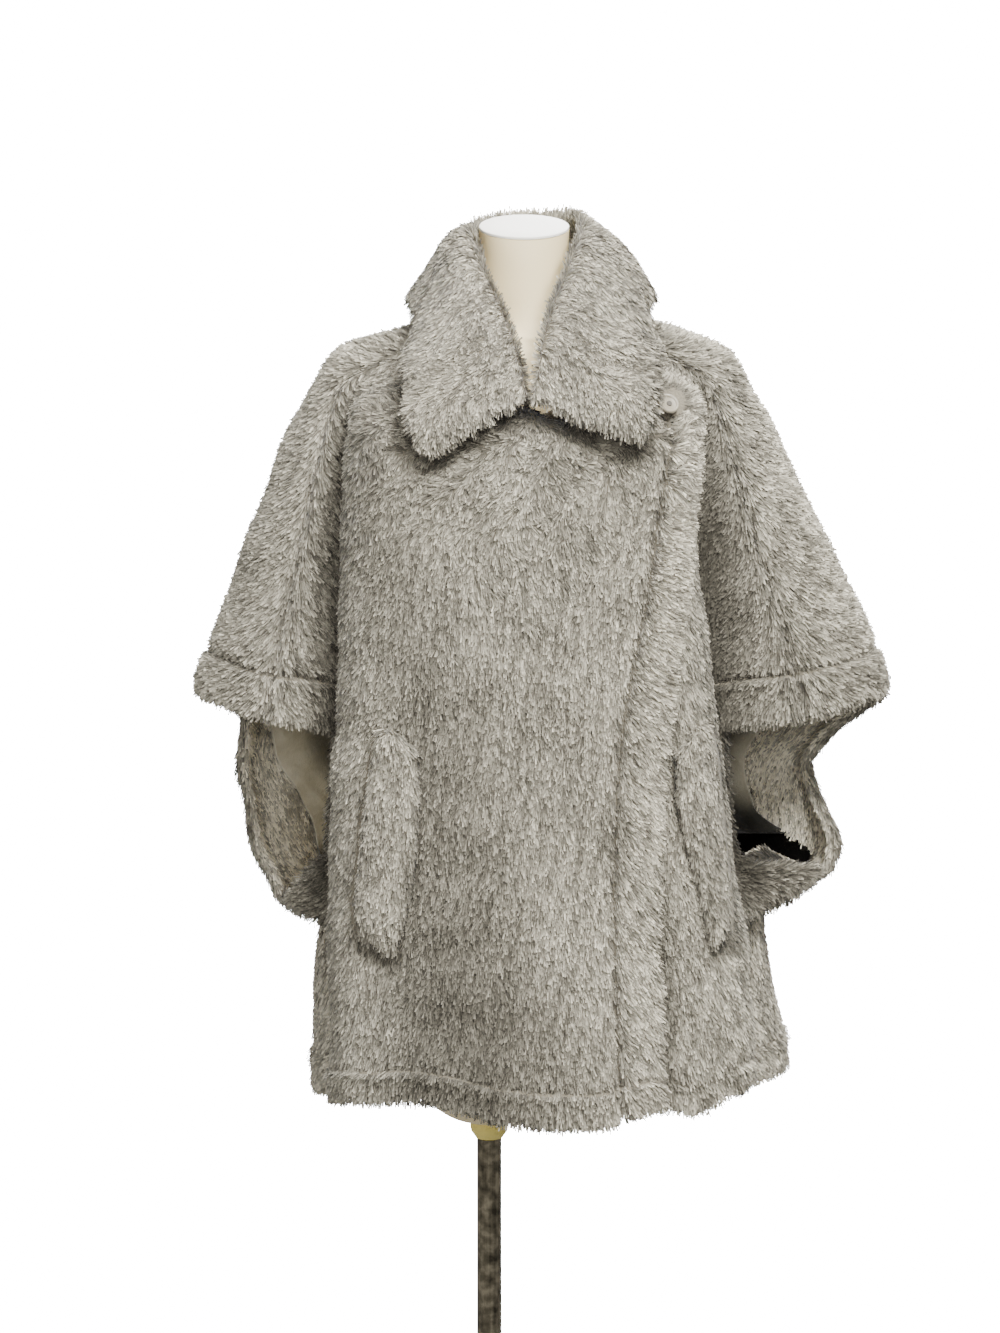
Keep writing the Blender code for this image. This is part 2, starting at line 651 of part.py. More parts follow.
# ---------------------------------------------------------------- collar


def rest_on_coat(points, clearance):
    """Moves points to the place above the coat's nearest point, this far from its middle."""
    moved = []
    samples = SURFACE[: 6 * PER_RING]
    for point in points:
        gap = ((samples - point) ** 2).sum(-1)
        ring, line = np.unravel_index(np.argmin(gap), gap.shape)
        at = line / PER_LINE
        lift = float(lap_lift(at)) if at < CREST else 0.0
        moved.append(samples[ring, line] + OUTWARD[ring, line] * (clearance + lift))
    return np.array(moved)


def collar():
    """The collar: up from the neckline, over the roll and down to the fall's edge."""
    table = columns(COLLAR_COLUMNS, COLLAR)
    stations = np.concatenate([np.linspace(1, 0, 12), -np.linspace(0, 1, 12)[1:]])
    way, hand = np.abs(stations), np.where(stations > 0, -1, 1)
    order = np.argsort(table["way"])
    spread = np.where(hand > 0, COLLAR_SPREAD[1], COLLAR_SPREAD[-1])
    lift = np.where(hand > 0, COLLAR_LIFT[1], COLLAR_LIFT[-1])
    lines = {}
    for part in ("roll", "mid", "edge"):
        x, y, z = (glide(way, table["way"][order], table[f"{part}_{a}"][order]) for a in "xyz")
        wide, middle = spread, FALL_MID_X
        if part == "roll":
            wide, middle = 1.0, glide(way, table["way"][order], table["roll_mid"][order])
        z = z + lift * swell((way - 0.22) / 0.22)
        lines[part] = np.stack([middle + hand * x * wide, y, z], -1)
    base_line = BACK_MID - hand * (BACK_MID - 0.12) * way
    neck = on_coat(base_line, 0 * way)[0]
    below = on_coat(base_line, 0 * way + 0.1)[0]
    up = unit(neck - below)
    base = neck + up * COLLAR_BASE
    roll, mid = lines["roll"], lines["mid"]
    edge = rest_on_coat(lines["edge"], WALL / 2 + COLLAR_REST)
    rise = base + up * 7
    aside = unit((mid - roll) * [1, 1, 0])
    stand = 0.4 * base + 0.6 * roll - aside * 1
    fall = roll + aside * 14 + np.array([0, 0, -6.0])
    profile = np.stack([base, rise, stand, roll, fall, mid, edge], 1)
    half = np.array([2.6, 3.0, 3.2, 4.5, 6.0, COLLAR_HALF, COLLAR_HALF])
    path, thick = smooth_profile(profile, half, (1, 2, 2, 2, 3, 3))
    around = np.gradient(path, axis=0)
    along = np.gradient(path, axis=1)
    out = unit(np.cross(around, along))
    thick = thick * np.where(np.arange(path.shape[1]) == path.shape[1] - 1, RIM, 1.0)
    ends = np.ones(len(path))
    ends[[0, -1]] = RIM
    thick = thick[None, :, None] * ends[:, None, None]
    present = np.ones((path.shape[0] - 1, path.shape[1] - 1), bool)
    return wall("collar", path + out * thick, path - out * thick, present, "pile")


def smooth_profile(points, half, steps):
    """Open smooth curves through (stations, stops, 3), with a thickness for each sample."""
    first = 2 * points[:, :1] - points[:, 1:2]
    last = 2 * points[:, -1:] - points[:, -2:-1]
    full = np.concatenate([first, points, last], 1)
    made, thick = [], []
    for k, count in enumerate(steps):
        p0, p1, p2, p3 = (full[:, k + i] for i in range(4))
        d0, d1, d2 = (
            np.sqrt(np.linalg.norm(b - a, axis=-1, keepdims=True)) + 1e-9
            for a, b in ((p0, p1), (p1, p2), (p2, p3))
        )
        go = ((p2 - p1) / d1 * d0 + (p1 - p0) / d0 * d1) / (d0 + d1) * d1
        come = ((p3 - p2) / d2 * d1 + (p2 - p1) / d1 * d2) / (d1 + d2) * d1
        last_one = k == len(steps) - 1
        for t in np.linspace(0, 1, count + 1)[: None if last_one else -1]:
            spot = p1 * (1 + 2 * t) * (1 - t) ** 2 + p2 * t * t * (3 - 2 * t)
            made.append(spot + go * t * (1 - t) ** 2 - come * t * t * (1 - t))
            thick.append(half[k] * (1 - t) + half[k + 1] * t)
    return np.stack(made, 1), np.array(thick)


# ---------------------------------------------------------------- what is sewn on


def pocket_welt(name, rows):
    """A puffed welt that lies on the front, its points moved out from the panel's."""
    down = np.linspace(0, 1, 9)
    stops = np.linspace(0, 1, len(rows))
    outer_z, outer_x, inner_z, inner_x = (glide(down, stops, c) for c in zip(*rows))
    across = np.linspace(0, 1, 6)
    x = outer_x[:, None] * (1 - across) + inner_x[:, None] * across
    z = outer_z[:, None] * (1 - across) + inner_z[:, None] * across
    lift = swell(2 * across - 0.75) * 9
    z = z + lift * (1 - down[:, None]) ** 3
    face = WALL / 2 + SEAT_GAP
    shown = face + POCKET_RIM
    places = [[front_place(a, b, shown) for a, b in zip(*pair)] for pair in zip(x, z)]
    places = np.array(places)
    middle, outward = on_coat(places[..., 0], places[..., 1])
    puff = (1 - (2 * across - 1) ** 4)[None] * (1 - (2 * down - 1) ** 6)[:, None]
    high = shown + (POCKET_PUFF - POCKET_RIM) * puff
    present = np.ones((len(down) - 1, len(across) - 1), bool)
    return wall(name, middle + outward * high[..., None], middle + outward * face, present, "pile")


def button():
    """A round four-hole button that lies on the lap's top corner."""
    x, z = BUTTON_PLACE
    seat = WALL / 2 + TURNED + WALL + LAP_GAP + SEAT_GAP
    middle, outward = on_coat(*front_place(x, z, seat))
    rim = (
        (BUTTON_THICK * 0.72, BUTTON_RADIUS * 0.62),
        (BUTTON_THICK, BUTTON_RADIUS * 0.74),
        (BUTTON_THICK, BUTTON_RADIUS * 0.92),
        (BUTTON_THICK * 0.6, BUTTON_RADIUS),
        (0.0, BUTTON_RADIUS * 0.9),
    )
    made = turned("button", rim, "horn", steps=24)
    place = Vector(middle + outward * seat) * MM
    turn = Vector(outward).to_track_quat("Z", "Y").to_matrix().to_4x4()
    made.matrix_world = Matrix.Translation(place) @ turn
    for corner in range(4):
        angle = math.radians(45 + 90 * corner)
        spot = (math.cos(angle) * BUTTON_PITCH * MM, math.sin(angle) * BUTTON_PITCH * MM, 0)
        bpy.ops.mesh.primitive_cylinder_add(vertices=8, radius=BUTTON_HOLE * MM, depth=20 * MM)
        cutter = bpy.context.object
        cutter.name = f"button_hole_{corner}"
        cutter.matrix_world = made.matrix_world @ Matrix.Translation(spot)
        for home in cutter.users_collection:
            home.objects.unlink(cutter)
        collection("cutters", hidden=True).objects.link(cutter)
        cutter.hide_render = True
        cutter.display_type = "WIRE"
        cut = made.modifiers.new(cutter.name, "BOOLEAN")
        cut.object = cutter
        cut.operation = "DIFFERENCE"


# ---------------------------------------------------------------- the dress form and its stand


def form_torso():
    """The limbless form: smooth oval sections from the neck to the socket."""
    around = np.linspace(0, 2 * math.pi, 32, endpoint=False)
    rings = []
    for height, half_x, half_y, mid_x, mid_y in FORM:
        tilt = math.tan(CAP_TILT) * ease((height - 1370) / 50)
        dy = half_y * np.sin(around)
        ring = [mid_x + half_x * np.cos(around), mid_y + dy, height + dy * tilt]
        rings.append(np.stack(ring, 1))
    return loft("form_torso", rings, "form")


def neck_cap():
    """The flat cap on the neck, tilted forwards with it."""
    height, radius, _, x, y = FORM[0]
    bpy.ops.mesh.primitive_cylinder_add(vertices=36, radius=radius * MM, depth=CAP_THICK * MM)
    made = bpy.context.object
    for home in made.users_collection:
        home.objects.unlink(made)
    collection("cape_coat").objects.link(made)
    made.name = "neck_cap"
    made.data.materials.append(material("cap"))
    up = Vector((0, -math.sin(CAP_TILT), math.cos(CAP_TILT)))
    made.rotation_euler = (CAP_TILT, 0, 0)
    made.location = (Vector((x, y, height)) + up * (CAP_THICK / 2 + 0.3)) * MM
    bevel = made.modifiers.new("soft rim", "BEVEL")
    bevel.width = 0.8 * MM
    bevel.segments = 2
    bevel.limit_method = "ANGLE"


def stand():
    """Socket, pole and plate, each 0.3 mm from the next."""
    turned("pole_socket", SOCKET, "socket", steps=28)
    foot = PLATE_THICK + 0.3
    top = SOCKET[-1][0] - 0.3
    turned("pole", ((top, POLE_RADIUS), (foot, POLE_RADIUS)), "steel", steps=24)
    rim = 2.0
    turned(
        "base_plate",
        (
            (PLATE_THICK, PLATE_RADIUS - rim),
            (PLATE_THICK - rim, PLATE_RADIUS),
            (rim, PLATE_RADIUS),
            (0.0, PLATE_RADIUS - rim),
        ),
        "plate",
        steps=48,
    )


def main():
    for old in list(bpy.data.objects):
        bpy.data.objects.remove(old, do_unlink=True)
    front_right()
    front_left()
    back()
    sleeve_lining("sleeve_lining_right", -1)
    sleeve_lining("sleeve_lining_left", 1)
    collar()
    for side, rows in POCKETS.items():
        pocket_welt(f"pocket_welt_{side}", rows)
    button()
    form_torso()
    neck_cap()
    stand()


main()
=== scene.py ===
# %% [markdown]
# # A wool pile cape coat on a dress form
#
# The coat is a boxy short cape with batwing half sleeves, a wide turned-down collar, a lapped
# front and puffed pocket welts. It is cut from thick grey pile cloth and hangs on a limbless
# form on a pole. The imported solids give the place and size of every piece. Here each cloth
# piece becomes a thin soft shell, and combed locks of pile grow on it.

# %% Load the frame
import math
import bpy
import numpy as np
from mathutils import Matrix, Vector


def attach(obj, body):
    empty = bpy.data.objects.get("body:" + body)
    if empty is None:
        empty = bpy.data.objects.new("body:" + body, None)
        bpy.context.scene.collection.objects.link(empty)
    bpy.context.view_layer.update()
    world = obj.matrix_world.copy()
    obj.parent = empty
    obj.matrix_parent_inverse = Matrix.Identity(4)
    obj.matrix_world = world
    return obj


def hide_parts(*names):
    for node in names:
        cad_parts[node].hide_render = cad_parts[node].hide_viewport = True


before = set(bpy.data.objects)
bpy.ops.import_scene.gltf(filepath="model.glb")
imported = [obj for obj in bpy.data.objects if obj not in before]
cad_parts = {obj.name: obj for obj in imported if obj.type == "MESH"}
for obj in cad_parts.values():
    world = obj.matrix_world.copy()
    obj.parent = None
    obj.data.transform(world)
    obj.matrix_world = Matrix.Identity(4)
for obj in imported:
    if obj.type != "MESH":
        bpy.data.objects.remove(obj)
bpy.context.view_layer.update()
MM = 0.001
print("nodes:", sorted(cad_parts))

# %% [markdown]
# ## The coat as one surface
#
# A pattern cutter drapes a coat as one form and then draws the seams on it, and the same is
# done here. Flat panels could be draped by a cloth simulation instead, but the pose of this
# coat has to be met. Rings run round the body from the neckline to the hem, and each passes
# twenty-two lines: the centre front, the centre back, and ten on either side between them,
# such as the crest of the body's fold, the valley behind it, the overarm seam and the
# sleeve's outer fold. Short tables hold the rings in millimetres, and smooth curves join
# them, so a panel is only a range of lines and rings and all seams meet.

# %% Rings of the body
BODY_COLUMNS = "z_front z_crest z_back y_front y_crest y_back x_mid tuck"
BODY = (
    (1262, 1322, 1350, -112, -62, 80, 41, -6),  # neckline
    (1212, 1296, 1308, -138, -76, 112, 41, -8),
    (1160, 1258, 1258, -147, -86, 128, 42, 0),  # shoulder
    (1105, 1188, 1195, -149, -93, 134, 42, 7),
    (1050, 1120, 1130, -152, -96, 136, 43, 11),
    (1005, 1060, 1065, -155, -98, 136, 44, 14),
    (976, 1002, 1010, -157, -99, 136, 45, 17),  # cuff stitching
    (945, 953, 965, -159, -100, 136, 46, 17),  # cuff edge
    (912, 918, 925, -161, -100, 136, 46, 16),
    (880, 885, 890, -163, -100, 137, 47, 14),
    (850, 853, 855, -165, -100, 138, 47, 12),
    (822, 824, 822, -168, -101, 140, 48, 10),
    (797, 799, 795, -171, -102, 142, 48, 9),
    (775, 776, 772, -173, -102, 144, 49, 8),  # underarm
    (752, 752, 748, -176, -102, 146, 50, 7),
    (695, 694, 690, -184, -104, 150, 51, 7),
    (648, 650, 634, -190, -106, 154, 52, 7),  # hem stitching
    (612, 615, 597, -193, -106, 156, 52, 6),  # hem edge
)

# %% The sides of the same rings
SIDE_COLUMNS = "z_out x_crest x_out y_seam y_out y_wing"
RIGHT_SIDE = (
    (1350, -12, -30, -15, 5, 30),
    (1334, -54, -76, -28, 5, 45),
    (1311, -125, -145, -48, 5, 55),
    (1252, -133, -183, -60, 5, 62),
    (1177, -134, -213, -66, 4, 68),
    (1101, -136, -241, -68, 2, 72),
    (1027, -137, -267, -68, 0, 76),
    (988, -141, -279, -66, 0, 80),
    (952, -144, -238, -62, 46, 94),
    (904, -146, -243, -60, 50, 98),
    (868, -147, -238, -60, 50, 98),
    (831, -148, -230, -60, 44, 96),
    (800, -149, -218, -58, 34, 90),
    (774, -150, -199, -52, 16, 78),
    (784, -150, -162, -40, 12, 66),
    (700, -149, -170, -40, 20, 80),
    (636, -149, -172, -40, 24, 86),
    (592, -149, -173, -40, 24, 88),
)
LEFT_SIDE = (
    (1350, 94, 112, -15, 5, 30),
    (1339, 136, 158, -28, 5, 45),
    (1313, 184, 226, -48, 5, 55),
    (1252, 190, 261, -60, 5, 62),
    (1177, 194, 299, -66, 4, 68),
    (1101, 201, 336, -68, 2, 72),
    (1030, 208, 369, -68, 0, 76),
    (990, 213, 380, -66, 0, 80),
    (945, 218, 342, -60, 34, 88),
    (908, 222, 314, -58, 48, 92),
    (875, 225, 323, -58, 22, 84),
    (842, 229, 334, -58, 2, 80),
    (816, 232, 331, -58, 2, 78),
    (797, 236, 308, -52, 8, 74),
    (818, 239, 262, -40, 12, 66),
    (722, 241, 272, -40, 22, 80),
    (656, 243, 288, -40, 26, 86),
    (616, 244, 294, -40, 26, 88),
)

# %% Folds, hem waves and edges
CREST, OVERARM, OUTER, BACK_MID = 3, 5, 7, 11  # lines, counted from the centre front
LINES_ROUND = 2 * BACK_MID
CUFF_STITCH, CUFF, UNDERARM, HEM_STITCH, HEM = 6, 7, 13, 16, 17  # rings
SLEEVE_FROM = 4.2  # the line on a front past which it is sleeve
HOOK = 4.35  # where the cut edge hides behind the body fold
# line, ring where the fold starts, ring where it is fullest, half width in lines, depth
FOLDS = (
    (-1.5, 9.0, 16.0, 0.9, -9), (0.7, 9.0, 16.0, 1.2, 9), (2.5, 11.0, 16.0, 0.6, 6),
    (-9.6, 5.0, 16.0, 0.7, 10), (-8.4, 4.0, 12.0, 0.6, -8), (9.7, 5.0, 16.0, 0.7, 11),
    (8.5, 4.0, 12.0, 0.6, -8), (11.2, 7.0, 17.0, 0.6, 8),
)  # fmt: skip
# line, half width in lines, height
HEM_WAVES = (
    (-1.9, 1.0, 12), (-0.95, 0.85, 19), (0.9, 0.5, 14), (2.5, 1.1, 17), (9.0, 1.2, -8),
    (-9.4, 1.1, 9),
)  # fmt: skip
LAP_EDGE = (
    (1.3, 174), (2, 177), (3, 174), (4, 169), (5, 164), (6, 161), (8, 157), (10, 155),
    (12, 154), (15, 157), (17, 161),
)  # fmt: skip
LAP_TOP, LAP_STITCH = 1.3, 42.0
ARM_EDGE = (
    (7.0, HOOK, HOOK), (10.5, HOOK, HOOK), (11.0, 4.6, 4.5), (11.5, 4.8, 5.6),
    (12.0, 5.2, 6.2), (12.5, 5.9, 6.4), (13.0, 6.6, 6.6), (14.0, 5.6, 5.6),
    (15.0, HOOK, HOOK), (17.0, HOOK, HOOK),
)  # fmt: skip
WALL = 10.0  # the solid's cloth, pile and all
LAP_GAP = 3.5

# %% Curves through the tables


def signed(line):
    """The same line, counted from the centre front and negative on the right of the coat."""
    return (line + BACK_MID) % LINES_ROUND - BACK_MID


def columns(names, rows):
    """A table as named arrays."""
    return {key: np.array([row[at] for row in rows], float) for at, key in enumerate(names.split())}


def unit(v):
    """The same direction at length 1."""
    return v / np.maximum(np.linalg.norm(v, axis=-1, keepdims=True), 1e-12)


def ease(x):
    """From 0 to 1 as x does, flat at both ends: x squared times (3 - 2x)."""
    x = np.clip(x, 0, 1)
    return x * x * (3 - 2 * x)


def swell(x):
    """A bump that is 1 at 0 and fades to 0 at -1 and 1: (1 - x squared) squared."""
    return np.where(np.abs(x) < 1, (1 - np.minimum(x * x, 1)) ** 2, 0.0)


def cubic(a, b, go, come, t):
    """A piece from a to b as t runs from 0 to 1, leaving along go and arriving along come:
    a (1 + 2t)(1 - t)^2 + b t^2 (3 - 2t) + go t (1 - t)^2 - come t^2 (1 - t)."""
    ends = a * (1 + 2 * t) * (1 - t) ** 2 + b * t * t * (3 - 2 * t)
    return ends + go * t * (1 - t) ** 2 - come * t * t * (1 - t)


def glide(at, x, y):
    """Cubic pieces through the points (x, y), with slopes limited so that it never overshoots."""
    x, y = np.asarray(x, float), np.asarray(y, float)
    step = np.diff(x)
    slope = np.diff(y) / step
    early, late = 2 * step[1:] + step[:-1], step[1:] + 2 * step[:-1]
    same = slope[1:] * slope[:-1] > 0
    safe = np.where(same, slope[1:] * slope[:-1], 1.0)
    mean = (early + late) * safe / (early * slope[1:] + late * slope[:-1] + ~same)
    turn = np.concatenate([[slope[0]], np.where(same, mean, 0.0), [slope[-1]]])
    at = np.clip(at, x[0], x[-1])
    i = np.clip(np.searchsorted(x, at, side="right") - 1, 0, len(step) - 1)
    t = (at - x[i]) / step[i]
    return cubic(y[i], y[i + 1], step[i] * turn[i], step[i] * turn[i + 1], t)


def closed_curve(points, per_line):
    """Closed curves through rings of points: cubic pieces whose speed follows each chord."""
    ahead, behind = np.roll(points, -1, 1) - points, points - np.roll(points, 1, 1)
    far = np.sqrt(np.linalg.norm(ahead, axis=-1, keepdims=True))
    near = np.sqrt(np.linalg.norm(behind, axis=-1, keepdims=True))
    turn = (ahead / far * near + behind / near * far) / (far + near)
    t = (np.arange(per_line) / per_line)[None, None, :, None]
    a, b = points[:, :, None], np.roll(points, -1, 1)[:, :, None]
    go, come = (turn * far)[:, :, None], (np.roll(turn, -1, 1) * far)[:, :, None]
    return cubic(a, b, go, come, t).reshape(len(points), -1, 3)


# %% The surface itself
PER_RING, PER_LINE = 12, 20  # samples between two rings, and between two lines


def side_lines(b, s):
    """The ten lines between centre front and centre back: two on the bow of the front, then
    crest, valley, overarm seam, three at the outer fold, and two across the back."""
    reach, drop = s["x_out"] - s["x_crest"], s["z_out"] - b["z_crest"]
    half, deep = s["x_crest"] - b["x_mid"], b["y_front"] - b["y_crest"]
    rise, hang = b["z_crest"] - b["z_front"], b["z_back"] - s["z_out"]
    hand = np.sign(reach)
    lines = []
    for angle in (30, 60):
        f, g = math.sin(math.radians(angle)) ** 0.8, math.cos(math.radians(angle)) ** 0.8
        lines.append((b["x_mid"] + half * f, b["y_crest"] + deep * g, b["z_front"] + rise * f**2.2))
    lines.append((s["x_crest"], b["y_crest"], b["z_crest"]))
    lines.append((s["x_crest"] - hand * b["tuck"], b["y_crest"] + 30, b["z_crest"] + 0.06 * drop))
    lines.append((s["x_crest"] + 0.48 * reach, s["y_seam"], b["z_crest"] + 0.48 * drop))
    fore, aft = 0.6 * s["y_seam"] + 0.4 * s["y_out"], 0.55 * s["y_wing"] + 0.45 * s["y_out"]
    lines.append((s["x_crest"] + 0.86 * reach, fore, b["z_crest"] + 0.86 * drop))
    lines.append((s["x_out"], s["y_out"], s["z_out"]))
    lines.append((s["x_crest"] + 0.90 * reach, aft, s["z_out"] + 0.12 * hang))
    lines.append((s["x_crest"] + 0.35 * reach, s["y_wing"], s["z_out"] + 0.45 * hang))
    wide = 0.35 * s["y_wing"] + 0.65 * b["y_back"]
    lines.append((b["x_mid"] + 0.72 * half, wide, s["z_out"] + 0.85 * hang))
    return np.stack([np.stack(line, -1) for line in lines], 1)


def surface_normals(points):
    """Outward directions: the way down crossed with the way round."""
    around = np.roll(points, -1, 1) - np.roll(points, 1, 1)
    return unit(np.cross(np.gradient(points, axis=0), around))


def coat_surface():
    """The middle of the cloth: closed curves through the table's rings, moved in by half the
    wall, with each fold added along the normal and each hem wave added to the height."""
    rings = np.arange(HEM * PER_RING + 1) / PER_RING
    knots = np.arange(HEM + 1)
    body = {k: glide(rings, knots, v) for k, v in columns(BODY_COLUMNS, BODY).items()}
    left, right = (
        side_lines(body, {k: glide(rings, knots, v) for k, v in columns(SIDE_COLUMNS, rows).items()})
        for rows in (LEFT_SIDE, RIGHT_SIDE)
    )
    front = np.stack([body["x_mid"], body["y_front"], body["z_front"]], -1)[:, None]
    back = np.stack([body["x_mid"], body["y_back"], body["z_back"]], -1)[:, None]
    points = closed_curve(np.concatenate([front, left, back, right[:, ::-1]], 1), PER_LINE)
    lines = np.arange(points.shape[1]) / PER_LINE
    outward = surface_normals(points)
    points = points - outward * WALL / 2
    for line, start, full, width, depth in FOLDS:
        away = signed(lines - line)
        grow = ease((rings - start) / (full - start))
        points = points + outward * (depth * swell(away / width)[None] * grow[:, None])[..., None]
    for line, width, height in HEM_WAVES:
        away = signed(lines - line)
        grow = ease((rings - UNDERARM) / (HEM - UNDERARM))
        points[..., 2] += height * swell(away / width)[None] * grow[:, None]
    return points, surface_normals(points)


SURFACE, OUTWARD = coat_surface()


def on_coat(line, ring):
    """Point and outward direction at each line and ring, blended from the four samples round it."""
    line, ring = np.broadcast_arrays(line, ring)
    x, y = np.mod(line, LINES_ROUND) * PER_LINE, np.clip(ring, 0, HEM) * PER_RING
    x0, y0 = np.floor(x).astype(int), np.minimum(np.floor(y).astype(int), HEM * PER_RING - 1)
    fx, fy = (x - x0)[..., None], (y - y0)[..., None]
    x1, x0 = (x0 + 1) % SURFACE.shape[1], x0 % SURFACE.shape[1]

    def read(field):
        low = field[y0, x0] * (1 - fx) + field[y0, x1] * fx
        high = field[y0 + 1, x0] * (1 - fx) + field[y0 + 1, x1] * fx
        return low * (1 - fy) + high * fy

    return read(SURFACE), unit(read(OUTWARD))


low, high = SURFACE.min((0, 1)).round(), SURFACE.max((0, 1)).round()
print("coat surface", SURFACE.shape, "mm from", low, "to", high)

# %% [markdown]
# ## Meshes from whole arrays
#
# A cloth piece is a closed wall between two grids of points. A Solidify modifier could add
# the wall, but the pile has to know on which side of it each point lies. The helpers below
# turn the grids into faces with index arithmetic, so that no loop visits a vertex. A panel
# with a part missing, such as the sleeve below its cuff, leaves those cells out, and a rim
# is added wherever a cell has no neighbour.

# %% Mesh helpers


def mesh_object(name, points, faces, finish_of_face=None):
    """Points in millimetres and faces of three or four corners, written with foreach_set."""
    mesh = bpy.data.meshes.new(name)
    mesh.vertices.add(len(points))
    mesh.vertices.foreach_set("co", (points * MM).astype(np.float32).ravel())
    counts = np.concatenate([np.full(len(f), f.shape[1]) for f in faces])
    corners = np.concatenate([f.ravel() for f in faces])
    mesh.loops.add(len(corners))
    mesh.loops.foreach_set("vertex_index", corners.astype(np.int32))
    mesh.polygons.add(len(counts))
    starts = np.concatenate([[0], np.cumsum(counts)[:-1]])
    mesh.polygons.foreach_set("loop_start", starts.astype(np.int32))
    mesh.polygons.foreach_set("use_smooth", np.ones(len(counts), bool))
    if finish_of_face is not None:
        mesh.polygons.foreach_set("material_index", finish_of_face.astype(np.int32))
    mesh.update(calc_edges=True)
    made = bpy.data.objects.new(name, mesh)
    bpy.context.scene.collection.objects.link(made)
    return made


def wall_faces(present):
    """Outer, inner and rim faces of a wall over a grid of cells. Inner points follow the outer."""
    rows, cols = present.shape
    index = np.arange((rows + 1) * (cols + 1)).reshape(rows + 1, cols + 1)
    a, b, c, d = index[:-1, :-1], index[:-1, 1:], index[1:, 1:], index[1:, :-1]
    outer = np.stack([a, d, c, b], -1)[present]
    inner = np.stack([a, b, c, d], -1)[present] + index.size
    framed = np.pad(present, 1)
    sides = (
        (a, b, framed[:-2, 1:-1]), (b, c, framed[1:-1, 2:]),
        (c, d, framed[2:, 1:-1]), (d, a, framed[1:-1, :-2]),
    )  # fmt: skip
    rim = []
    for p, q, beside in sides:
        bare = present & ~beside
        rim.append(np.stack([p[bare], q[bare], q[bare] + index.size, p[bare] + index.size], -1))
    return outer, inner, np.concatenate(rim)


# %% Helpers for walls


def both_faces(field):
    """A field over a wall's grid as one row, once for its outer and once for its inner points."""
    return np.concatenate([field.reshape(-1, *field.shape[2:])] * 2)


def wall_points(outer, inner):
    """Points of a wall from its two grids, in the order of its faces."""
    return np.concatenate([outer.reshape(-1, 3), inner.reshape(-1, 3)])


def volume_of(points, faces):
    """Signed volume of a closed mesh: a sixth of the sum of each face's triple products."""
    tri = np.concatenate([np.concatenate([f[:, [0, 1, 2]], f[:, [0, 2, 3]]]) for f in faces])
    a, b, c = (points[tri[:, k]] for k in range(3))
    return (np.cross(a, b) * c).sum() / 6


def facing_out(points, faces):
    """The same faces, turned over where the closed mesh would be inside out."""
    return [f[:, ::-1] for f in faces] if volume_of(points, faces) < 0 else list(faces)


def whole_wall(outer, inner):
    """Points and faces of a closed wall between two grids without a gap."""
    points = wall_points(outer, inner)
    return points, facing_out(points, wall_faces(np.ones((len(outer) - 1, outer.shape[1] - 1), bool)))


# %% Helpers for pieces


def write_tone(made, values):
    """One shade for each point, which the finishes read."""
    layer = made.data.attributes.new("tone", "FLOAT", "POINT")
    layer.data.foreach_set("value", np.asarray(values, np.float32).ravel())


def settle(made, finishes, node=None):
    """Gives a piece its finishes, rides it on the only body and hides the imported part that it replaces."""
    for used in finishes:
        made.data.materials.append(used)
    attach(made, "root")
    if node:
        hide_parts(node)
    return made


def rim_points(present):
    """True at each grid point that has a missing cell, or no cell, on some side."""
    framed = np.pad(present, 1).astype(int)
    return framed[:-1, :-1] + framed[:-1, 1:] + framed[1:, :-1] + framed[1:, 1:] < 4


def ripple(points, length, seed, waves=8):
    """An uneven smooth field of about unit size: plane waves of about this length, summed."""
    rng = np.random.default_rng(seed)
    ways = unit(rng.normal(size=(waves, 3)))
    ways = ways * (2 * np.pi / (length * rng.uniform(0.7, 1.6, waves)))[:, None]
    return np.sin(points @ ways.T + rng.uniform(0, 2 * np.pi, waves)).sum(-1) / math.sqrt(waves / 2)


def finer(stops, times):
    """Each step between two stops cut into equal parts."""
    stops = np.asarray(stops, float)
    places = np.arange((len(stops) - 1) * times + 1) / times
    return np.interp(places, np.arange(len(stops)), stops)


# %% [markdown]
# ## Shader maths as expressions
#
# A node tree is easier to read as sums and products than as a list of links. The class wraps
# one socket: an operator on it adds the matching Math node, and node() adds any other node.

# %% The socket class


